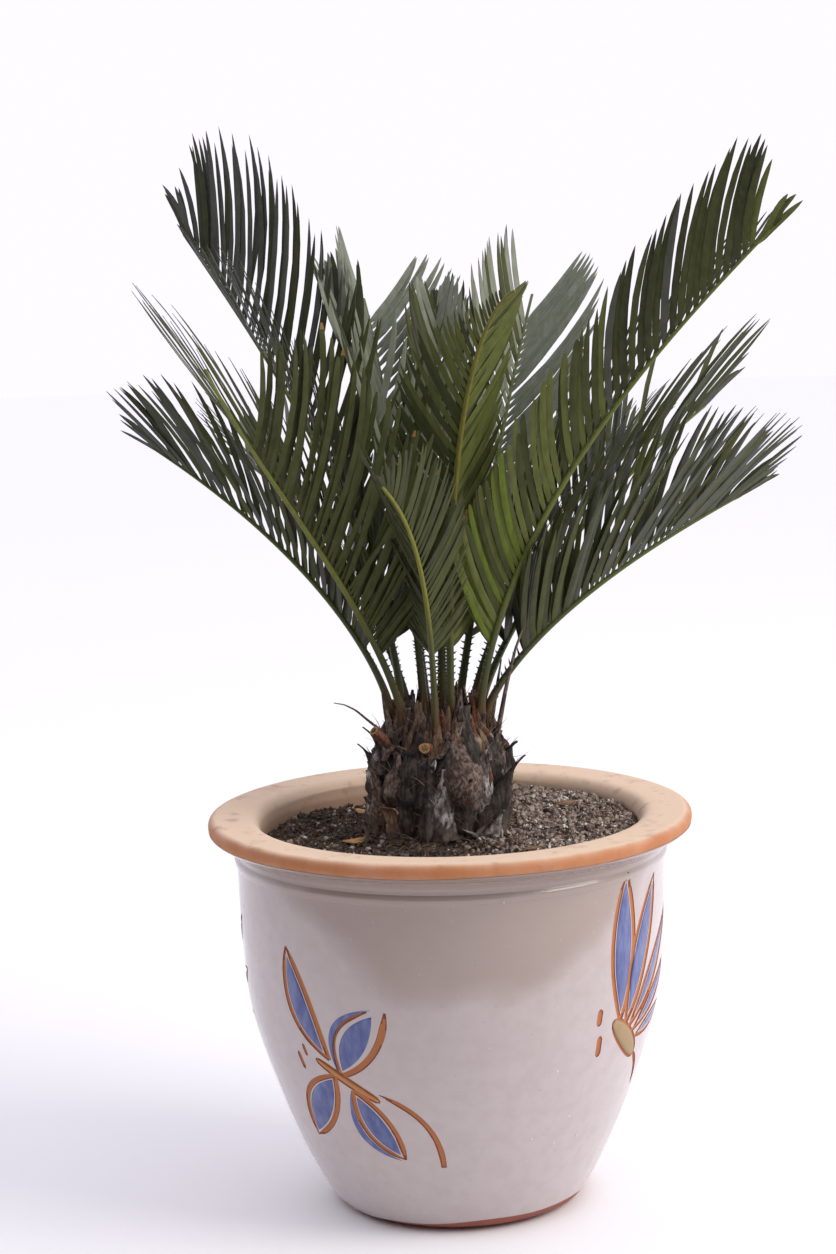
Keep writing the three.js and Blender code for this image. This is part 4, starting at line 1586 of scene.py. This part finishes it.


# G leaflets carry painted sheen on their upper sides. S leaflets, dealt to some fronds and to bands near
# their tips, carry painted backlight glare.
D, O, G, F, L, S = Shade.DEEP, Shade.OLIVE, Shade.GREY, Shade.FRESH, Shade.LIME, Shade.STEEL
BACK_RIB = "#5c6636"
LATE, EARLY, SHORT_TIP = LeafArc(0.2, 0.68, 2.4), LeafArc(0.3, 0.5, 1.0, 1.0), LeafArc(0.25, 0.7, 1.2, 1.0)
BACK = LeafArc(0.2, 0.66, 1.3, 0.9)
FRONDS = (
    FrondSizes(-96, -11, (85, 31.6), .46, 303, 40, 122, (56, 16), (S, D, S, O), "#4a5726",
               arc=LeafArc(0.2, 0.7, 1.6), spacing=7.4, width=5.0, foot_width=1.05),
    FrondSizes(-56, 41, (86, 40.5), .36, 385, 37, 168, (54, 20), (O, D, O), "#6c7034", (52, 30), EARLY, 5.3,
               near_tip=0.6, near_blunt=0.5, foot_width=0.85, width=5.1, twist=14,
               kept={Row.NEAR: 0.12, Row.FAR: 0.2}, bare_from=0.7),
    FrondSizes(-119, -30, (88, 34), .73, 484, 36, 168, (60, 22), (D, D, O), "#5f6832", arc=LATE, spacing=4.7,
               width=5.0, near_tip=0.3, foot_width=0.8, bands=(Band(0.45, 1.0, (S, S, D)),)),
    FrondSizes(-147, -10, (84, 36), 1.4, 400, 24, 100, (50, 12), (G, D, G), BACK_RIB, twist=-30),
    FrondSizes(-164.5, -8, (71, 23), 1.8, 419, 42, 132, (60, 33), (G,), BACK_RIB, (46, 46), BACK, 7.5,
               6.2, -22, twist=-32, tuft=False),
    FrondSizes(-5, -16, (86, 27), .82, 272, 42, 80, (62, 24), (D, O, D), "#77762e", spacing=5.4, width=4.2,
               stem=3.2),
    FrondSizes(22, -6, (87, 8), 2.2, 430, 24, 87, (44, 18), (F, O, F, O), "#77722f", (40, 40), SHORT_TIP, 6.2,
               6.4, 18, near_tip=0.38, near_spread=18, bands=(Band(0.0, 1.0, (F, F, O), (Row.FAR,)),)),
    FrondSizes(174, 10, (82, 34), 1.2, 385, 22, 98, (52, 16), (G, D, O), BACK_RIB, twist=-30),
    FrondSizes(156, 8, (66, 40), 1.8, 399, 40, 129, (50, 31), (G,), BACK_RIB, (45, 45), BACK, 6.4, 5.8,
               -25, twist=-26, tuft=False, bands=(Band(0.0, 1.0, (G, O, G), (Row.FAR,)),)),
    FrondSizes(69, -38, (88, 32), .6, 512, 36, 143, (38, 24), (O, D, O), "#646d33",
               arc=LeafArc(0.2, 0.73, 3.0), spacing=7.6, near_blunt=0.4, far_tip=0.45, foot_width=0.75,
               bands=(Band(0.0, 0.27, (L, F, L, O), (Row.NEAR,)), Band(0.27, 0.6, (F, O, F), (Row.NEAR,)),
                      Band(0.5, 0.93, (S, O, D)), Band(0.93, 1.0, (F, F, O)))),
    FrondSizes(122, 9, (76, 26), .5, 352, 40, 145, (50, 22), (S, O, D), "#5f6a2c",
               arc=LeafArc(0.2, 0.66, 2.4), spacing=6.6, width=5.2, twist=22,
               kept={Row.NEAR: 0.6, Row.FAR: 0.25}, bare_from=0.6),
    FrondSizes(96.5, 28, (77.4, 18.4), .39, 296, 39, 146, (54, 18), (S, D, O), "#4f5b26",
               arc=LeafArc(0.25, 0.63, 1.3, 0.9), spacing=4.5, width=5.3, spread_delay=1.3, foot_width=1.1,
               spine_growth=1.5),
    FrondSizes(140, 10, (76, 10), .6, 350, 44, 125, (60, 22), (O, D, G), BACK_RIB),
    FrondSizes(-142, -10, (76, 10), .6, 350, 44, 125, (60, 22), (O, D, G), BACK_RIB),
)


@dataclass(frozen=True)
class LeafletRule:
    """How leaflets grow along a rib: the source's rule, carried to life's finer spacing and width."""

    bare_stem: float = 60.0
    thickness: float = 0.7
    foot_crowding: float = 1.6
    tip_spacing: float = 0.8
    tuft_from: float = 0.91
    tuft_spread: float = 9.0
    last: float = 0.995
    shortest: float = 12.0
    sickle: float = 0.038
    clear: float = 2.4
    tries: tuple[Point, ...] = ((1, 0), (1, 2), (1, -2), (1, 4), (1, -4), (1, 7), (.85, 0), (.85, 6), (.7, 0),
                                (.7, 7), (.55, 0), (.45, 0))

    def share(self, place: float) -> float:
        """Returns how far along the leafy part a leaflet stands: crowded at the foot and again at the tip."""
        return mix(place ** self.foot_crowding, 1 - self.tip_spacing * (1 - place), place ** 3)


@dataclass
class Rib:
    """The line of a frond's rib: places and directions from its root in the crown to its tip."""

    sizes: FrondSizes
    trunk: PalmTrunk
    steps: int = 66
    swing_delay: float = 1.5
    tip_radius: float = 1.4
    taper: float = 0.7
    places: np.ndarray = field(init=False)
    along: np.ndarray = field(init=False)
    across: np.ndarray = field(init=False)
    above: np.ndarray = field(init=False)

    def __post_init__(self) -> None:
        """Walks the rib step by step, as the source does."""
        sizes = self.sizes
        place = self.trunk.point(sizes.azimuth, sizes.seat, self.trunk.height)
        rows = []
        for i in range(self.steps + 1):
            share = i / self.steps
            rise = math.radians(mix(*sizes.rise, share ** sizes.bend))
            out = outward(sizes.azimuth + sizes.swing * share ** self.swing_delay)
            along = out * math.cos(rise) + UP * math.sin(rise)
            across = np.cross(out, UP)
            rows.append((place, along, across, np.cross(across, along)))
            place = place + along * sizes.length / self.steps
        self.places, self.along, self.across, self.above = (np.array(column) for column in zip(*rows))

    def at(self, share: float) -> tuple[np.ndarray, np.ndarray, np.ndarray, np.ndarray]:
        """Returns the place and the directions along, across and above at a share of the rib."""
        position = min(share, 1.0) * self.steps
        low = min(self.steps - 1, int(position))
        part = position - low
        place, *directions = (rows[low] + (rows[low + 1] - rows[low]) * part
                              for rows in (self.places, self.along, self.across, self.above))
        return place, *(unit(direction) for direction in directions)

    def radius(self, share: float) -> float:
        """Returns the rib's radius at a share of its length."""
        return mix(self.sizes.stem, self.tip_radius, share ** self.taper)


@dataclass
class Leaflet:
    """One leaflet: its root, its directions, its length, and what is dealt out to it."""

    root: np.ndarray
    along: np.ndarray
    flat: np.ndarray
    length: float
    width: float
    shade: Shade
    cup: float
    sickle: float
    blunt: bool
    withered: bool


@dataclass
class Crown:
    """All fronds: ribs with their spines, and leaflets that keep clear of the other fronds."""

    trunk: PalmTrunk
    rule: LeafletRule = field(default_factory=LeafletRule)
    root_depth: float = 30.0
    stations: tuple[Point, ...] = ((0.0, 0.42), (0.05, 0.66), (0.14, 0.96), (0.34, 1.0), (0.58, 0.97),
                                   (0.76, 0.82), (0.89, 0.54), (0.965, 0.24), (1.0, 0.02))
    blunt_widths: tuple[float, ...] = (0.42, 0.66, 0.96, 1.0, 1.0, 0.98, 0.92, 0.72, 0.34)
    section: tuple[Point, ...] = ((-1.0, -0.1), (-0.42, 0.62), (0.0, 0.3), (0.42, 0.62), (1.0, -0.1),
                                  (0.0, -0.5))
    spines: int = 9
    spine_start: float = 12.0
    spine_spacing: float = 5.6

    def leaflet_template(self) -> bpy.types.Mesh:
        """Returns one leaflet of unit length and half width, with a grooved midrib and a closed point."""
        bm = bmesh.new()
        rings = []
        for along, wide in self.stations:
            thick = 1.0 if along < 0.9 else 0.55
            rings.append(np.array([(along, across * wide, high * thick) for across, high in self.section]))
        tube(bm, rings)
        for face in bm.faces:
            middle = face.calc_center_median()
            face.material_index = 1 if middle.z < 0 else 0
        return template_mesh(bm, "leaflet_template")

    def sample(self, rib: Rib, share: float, side: int, form: Point, chance: np.ndarray) -> Leaflet:
        """Grows one leaflet by the rule.

        Args:
            rib: The rib that it grows from.
            share: Its place on the leafy part, from 0 at the foot to 1 at the tip.
            side: -1 for the left row and 1 for the right.
            form: Its length as a share, and degrees that it is turned by.
            chance: Four random numbers about 0 that vary it.

        Returns:
            The leaflet.
        """
        sizes, rule = rib.sizes, self.rule
        place, forward, across, above = rib.at(mix(rule.bare_stem / sizes.length, rule.last, share))
        row = Row.NEAR if across[1] * side < 0 else Row.FAR
        tuft = smooth((share - rule.tuft_from) / 0.05)
        spread = mix(mix(*sizes.spread, share ** sizes.spread_delay), rule.tuft_spread, tuft)
        spread += sizes.near_spread if row is Row.NEAR else 0.0
        lean = math.radians(spread + form[1] + (1.0 + 5 * tuft) * chance[0])
        keel = math.radians(mix(*sizes.keel, share) + 1.8 * chance[1])
        roll = math.radians(sizes.roll)
        across, above = (across * math.cos(roll) + above * math.sin(roll),
                         above * math.cos(roll) - across * math.sin(roll))
        rising = across * side * math.cos(keel) + above * math.sin(keel)
        along = forward * math.cos(lean) + rising * math.sin(lean)
        flat = rising * math.cos(lean) - forward * math.sin(lean)
        face = np.cross(along, flat)
        face = face if face @ UP > 0 else -face
        flat = flat * math.cos(math.radians(sizes.twist)) + face * math.sin(math.radians(sizes.twist))
        cut = mix(1, sizes.near_tip if row is Row.NEAR else sizes.far_tip, smooth((share - 0.4) / 0.45))
        cut *= mix(1, sizes.tip_length, tuft)
        length = sizes.leaf * sizes.arc.share(share) * cut * form[0] * (1 + 0.03 * chance[2])
        width = sizes.width * (0.62 + 0.38 * smooth(length / 75)) * (1 + 0.05 * chance[3])
        width *= mix(sizes.foot_width, 1.0, smooth(share / 0.45))
        blunt = row is Row.NEAR and share < sizes.near_blunt
        shades = sizes.shades
        for band in sizes.bands:
            shades = band.shades if band.start <= share < band.end and row in band.rows else shades
        shade = shades[int(abs(chance[0] * 7 + chance[3] * 13)) % len(shades)]
        return Leaflet(place, along, flat, length, width, shade, 0.012 * chance[1],
                       rule.sickle + 0.01 * chance[2], blunt, chance[1] > 1.1)

    def clear_of(self, leaflet: Leaflet, rods: np.ndarray) -> bool:
        """Tells whether a leaflet's middle line keeps clear of other fronds.

        Args:
            leaflet: The leaflet.
            rods: The others' straight stretches, as rows of start and end.

        Returns:
            True if no stretch comes nearer than the rule's clearance.
        """
        if not len(rods):
            return True
        start, reach = leaflet.root, leaflet.along * leaflet.length
        origin, lines = rods[:, 0], rods[:, 1] - rods[:, 0]
        gap = start - origin
        a, e = reach @ reach, np.einsum("ij,ij->i", lines, lines)
        b, c, f = lines @ reach, gap @ reach, np.einsum("ij,ij->i", lines, gap)
        spread = np.maximum(a * e - b * b, 1e-6)
        s = np.clip((b * f - c * e) / spread, 0, 1)
        t = np.clip((b * s + f) / e, 0, 1)
        s = np.clip((b * t - c) / a, 0, 1)
        nearest = gap + s[:, None] * reach - t[:, None] * lines
        return bool((np.linalg.norm(nearest, axis=1) > self.rule.clear).all())

    def grow(self, ribs: Sequence[Rib]) -> list[list[Leaflet]]:
        """Grows every frond's leaflets by turns, so that no frond takes all the room.

        Args:
            ribs: The fronds' ribs.

        Returns:
            The leaflets of each frond.
        """
        rng = np.random.default_rng(21)
        counts = [round((rib.sizes.length - self.rule.bare_stem) / rib.sizes.spacing) for rib in ribs]
        rods = [[(a, b) for a, b in zip(rib.places[::6], rib.places[6::6])] for rib in ribs]
        leaflets: list[list[Leaflet]] = [[] for _ in ribs]
        for row in range(max(counts)):
            for number, rib in enumerate(ribs):
                if row >= counts[number]:
                    continue
                others = np.array([rod for other, own in enumerate(rods) if other != number for rod in own])
                for side in (-1, 1):
                    chance = rng.normal(size=4)
                    share = self.rule.share((row + 0.5 + 0.25 * side) / counts[number])
                    row_here = Row.NEAR if rib.at(share)[2][1] * side < 0 else Row.FAR
                    kept = rib.sizes.kept.get(row_here, 1.0)
                    tuft = share > self.rule.tuft_from
                    grows = rib.sizes.tuft or not tuft
                    grows = grows and (share < rib.sizes.bare_from or rng.random() < kept)
                    forms = self.rule.tries if grows else ()
                    for form in forms:
                        leaflet = self.sample(rib, share, side, form, chance)
                        if leaflet.length >= self.rule.shortest and self.clear_of(leaflet, others):
                            leaflets[number].append(leaflet)
                            tip = leaflet.root + leaflet.along * leaflet.length
                            rods[number].append((leaflet.root, tip))
                            break
        return leaflets

    def leaflet_mesh(self, name: str, template: bpy.types.Mesh,
                     leaflets: Sequence[Leaflet]) -> bpy.types.Mesh:
        """Joins a frond's leaflets, each bowed like a sickle towards the frond's tip.

        Args:
            name: Name of the mesh.
            template: The unit leaflet.
            leaflets: The frond's leaflets.

        Returns:
            The joined mesh, two material indices to a shade.
        """
        corners = corners_of(template)
        u, v, w = corners.T
        shaped = np.empty((len(leaflets), len(corners), 3))
        order = list(Shade)
        pointed = np.array([wide for _, wide in self.stations])
        swell = np.repeat(np.array(self.blunt_widths) / pointed, len(self.section))
        for i, leaflet in enumerate(leaflets):
            face = np.cross(leaflet.along, leaflet.flat)
            face = face if face @ UP > 0 else -face
            bow = leaflet.length * leaflet.sickle * 4 * u * (1 - u)
            droop = leaflet.length * leaflet.cup * 4 * u * (1 - u)
            wide = v * (swell if leaflet.blunt else 1) * leaflet.width / 2
            shaped[i] = (leaflet.root + np.outer(u * leaflet.length, leaflet.along)
                         + np.outer(wide + bow, leaflet.flat)
                         + np.outer(w * self.rule.thickness + droop, face))
        middles = np.array([sum(corners[v][0] for v in face.vertices) / len(face.vertices)
                            for face in template.polygons])
        dealt = np.array([[2 * order.index(Shade.DRY if leaflet.withered and middle > 0.93 else leaflet.shade)
                           for middle in middles] for leaflet in leaflets])
        return joined_copies(name, template, shaped, dealt, turns_sharp=55)

    def rib_mesh(self, name: str, rib: Rib) -> bpy.types.Mesh:
        """Draws a frond's stem and rib, with the small spines along its bare foot.

        Args:
            name: Name of the mesh.
            rib: The rib's line.

        Returns:
            The mesh.
        """
        bm = bmesh.new()
        turns = np.arange(10) * 2 * math.pi / 10 + math.pi / 10
        shape = 1 + 0.12 * np.cos(3 * (turns + math.pi / 2))
        rings = []
        for share in (-1.0, -0.5, *np.linspace(0, 1, rib.steps // 2 + 1)):
            place, along, across, above = rib.at(max(0.0, share))
            swell = 1 + 0.25 * math.exp(-max(0.0, share) * rib.sizes.length / 14)
            radius = rib.radius(max(0.0, share)) * (swell if share >= 0 else 1.3)
            centre = place + UP * self.root_depth * min(0.0, share)
            rings.append(centre + radius * (np.outer(np.cos(turns) * shape * 0.9, across)
                                            + np.outer(np.sin(turns) * shape * 0.8, above)))
        tube(bm, rings)
        for number in range(self.spines):
            distance = self.spine_start + self.spine_spacing * number
            for side in (-1, 1):
                place, along, across, above = rib.at((distance + 2 * side) / rib.sizes.length)
                root = place + across * side * rib.radius(0.1) * 0.7 + above * 1.0
                length = 1.5 + rib.sizes.spine_growth * number
                tip = root + (across * side + along * 0.35 + above * 0.3) * length
                path = np.array([root, (root + tip) / 2 - along * 0.2, tip])
                tube(bm, round_rings(path, (1.1, 0.7, 0.12), 5, face=above))
        return finish_mesh(bm, name, weld=0.0005)

    def dress(self) -> None:
        """Grows the crown and puts each frond's two pieces in the scene."""
        skins: list[bpy.types.Material] = []
        for shade in Shade:
            top, streak, under, gloss = shade.value
            kind = shade.name.lower()
            skins.append(LeafletSkin(f"leaflet_{kind}", top, streak, gloss).build())
            skins.append(LeafletSkin(f"leaflet_{kind}_underside", under, top, gloss, 0.55).build())
        template = self.leaflet_template()
        ribs = [Rib(sizes, self.trunk) for sizes in FRONDS]
        for number, (rib, leaflets) in enumerate(zip(ribs, self.grow(ribs)), 1):
            stem = FrondStem(f"frond_stem_{number:02d}", rib.sizes.rib).build()
            node = f"frond_{number:02d}"
            name = f"frond_rib_{number:02d}"
            place_piece(self.rib_mesh(name, rib), name, (stem,), (node,))
            name = f"frond_leaflets_{number:02d}"
            place_piece(self.leaflet_mesh(name, template, leaflets), name, skins, (node,))


# Studio


@dataclass
class Studio:
    """A white studio: a wide pale floor, a soft key light from the right, dark cloths and the camera."""

    place: tuple[float, float, float] = (0.0, -2432.0, 865.0)
    pitch: float = 8.95
    yaw: float = -0.515
    roll: float = -1.6
    focal_pixels: float = 3000.0
    photo: tuple[int, int] = (836, 1254)
    sensor: float = 36.0

    def camera(self) -> None:
        """Sets the camera where the photograph was taken from."""
        data = bpy.data.cameras.new("photo_camera")
        data.sensor_fit, data.sensor_width = "AUTO", self.sensor
        data.lens = self.focal_pixels * self.sensor / max(self.photo)
        data.clip_start, data.clip_end = 0.05, 50
        camera = put("photo_camera", data)
        pitch, yaw, roll = (math.radians(angle) for angle in (self.pitch, self.yaw, self.roll))
        ahead = Vector((math.sin(yaw) * math.cos(pitch), math.cos(yaw) * math.cos(pitch), -math.sin(pitch)))
        right = ahead.cross(Vector((0, 0, 1))).normalized()
        high = right.cross(ahead)
        tilted_right = right * math.cos(roll) + high * math.sin(roll)
        tilted_high = high * math.cos(roll) - right * math.sin(roll)
        turned = Matrix((tilted_right, tilted_high, -ahead)).transposed().to_4x4()
        camera.matrix_world = Matrix.Translation(Vector(self.place) * MM) @ turned
        bpy.context.scene.camera = camera

    def floor(self) -> None:
        """Makes the pale floor, a wide disc that the pot stands on."""
        bm = bmesh.new()
        bmesh.ops.create_circle(bm, cap_ends=True, segments=96, radius=9000)
        bmesh.ops.translate(bm, verts=bm.verts, vec=(0, 0, -0.3))
        floor = put("studio_floor", finish_mesh(bm, "studio_floor"))
        recipe = Recipe("pale_paper", roughness=0.9)
        recipe.colour("#fbfbfc")
        floor.data.materials.append(recipe.material)

    def softbox(self, name: str, place: Sequence[float], aim: Sequence[float], size: float, power: float,
                colour: str) -> None:
        """Adds one square soft light.

        Args:
            name: Name of the light.
            place: Where it hangs, in metres.
            aim: The point that it faces, in metres.
            size: Its width, in metres.
            power: Its power, in watts.
            colour: Its colour.
        """
        data = bpy.data.lights.new(name, "AREA")
        data.shape, data.size, data.energy = "SQUARE", size, power
        data.color = linear(colour)[:3]
        light = put(name, data)
        light.location = place
        light.rotation_euler = (Vector(aim) - Vector(place)).to_track_quat("-Z", "Y").to_euler()

    def flag(self, name: str, place: Sequence[float], aim: Sequence[float], size: Sequence[float]) -> None:
        """Stands one dark cloth out of view, so that the glaze has something dark to mirror.

        Args:
            name: Name of the cloth.
            place: The middle of its lower edge, in metres.
            aim: The point that it faces, in metres.
            size: Its width and height, in metres.
        """
        bm = bmesh.new()
        bmesh.ops.create_grid(bm, x_segments=1, y_segments=1, size=0.5)
        bmesh.ops.scale(bm, vec=(size[0] / MM, size[1] / MM, 1), verts=bm.verts)
        bmesh.ops.rotate(bm, cent=(0, 0, 0), matrix=Matrix.Rotation(math.pi / 2, 3, "X"), verts=bm.verts)
        heading = math.atan2(aim[1] - place[1], aim[0] - place[0]) + math.pi / 2
        bmesh.ops.rotate(bm, cent=(0, 0, 0), matrix=Matrix.Rotation(heading, 3, "Z"), verts=bm.verts)
        middle = Vector(place) + Vector((0, 0, size[1] / 2))
        bmesh.ops.translate(bm, vec=middle / MM, verts=bm.verts)
        cloth = put(name, finish_mesh(bm, name))
        recipe = Recipe(name, roughness=0.95)
        recipe.colour("#4b4543")
        cloth.data.materials.append(recipe.material)

    def light(self) -> None:
        """Sets a white surround, the soft light and the dark cloths on the camera's side."""
        world = bpy.data.worlds.new("white_surround")
        world.use_nodes = True
        world.node_tree.nodes.clear()
        white = {"Color": linear("#f7f4ff"), "Strength": 1.08}
        surround = add_node(world.node_tree, "ShaderNodeBackground", white)
        add_node(world.node_tree, "ShaderNodeOutputWorld", links={"Surface": surround.outputs[0]})
        bpy.context.scene.world = world
        middle = (0.0, 0.0, 0.45)
        self.softbox("key_right", (2.3, -0.9, 2.1), middle, 1.7, 52, "#fffaf2")
        self.flag("dark_cloth_front", (-0.3, -3.4, 0.0), middle, (5.0, 2.8))
        self.flag("dark_cloth_left", (-2.6, -1.6, 0.0), middle, (2.6, 2.2))
        bpy.context.scene.view_settings.view_transform = "Standard"

    def build(self) -> None:
        """Sets up camera, floor and lights."""
        self.camera()
        self.floor()
        self.light()


def main() -> None:
    """Builds the palm in its studio; each piece's face count goes to the log as it is placed."""
    logging.basicConfig(level=logging.INFO, format="%(name)s: %(message)s")
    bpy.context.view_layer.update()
    Studio().build()
    GlazedPot().dress()
    SoilBed().dress()
    trunk = PalmTrunk()
    trunk.dress()
    Crown(trunk).dress()


if __name__ == "__main__":
    main()
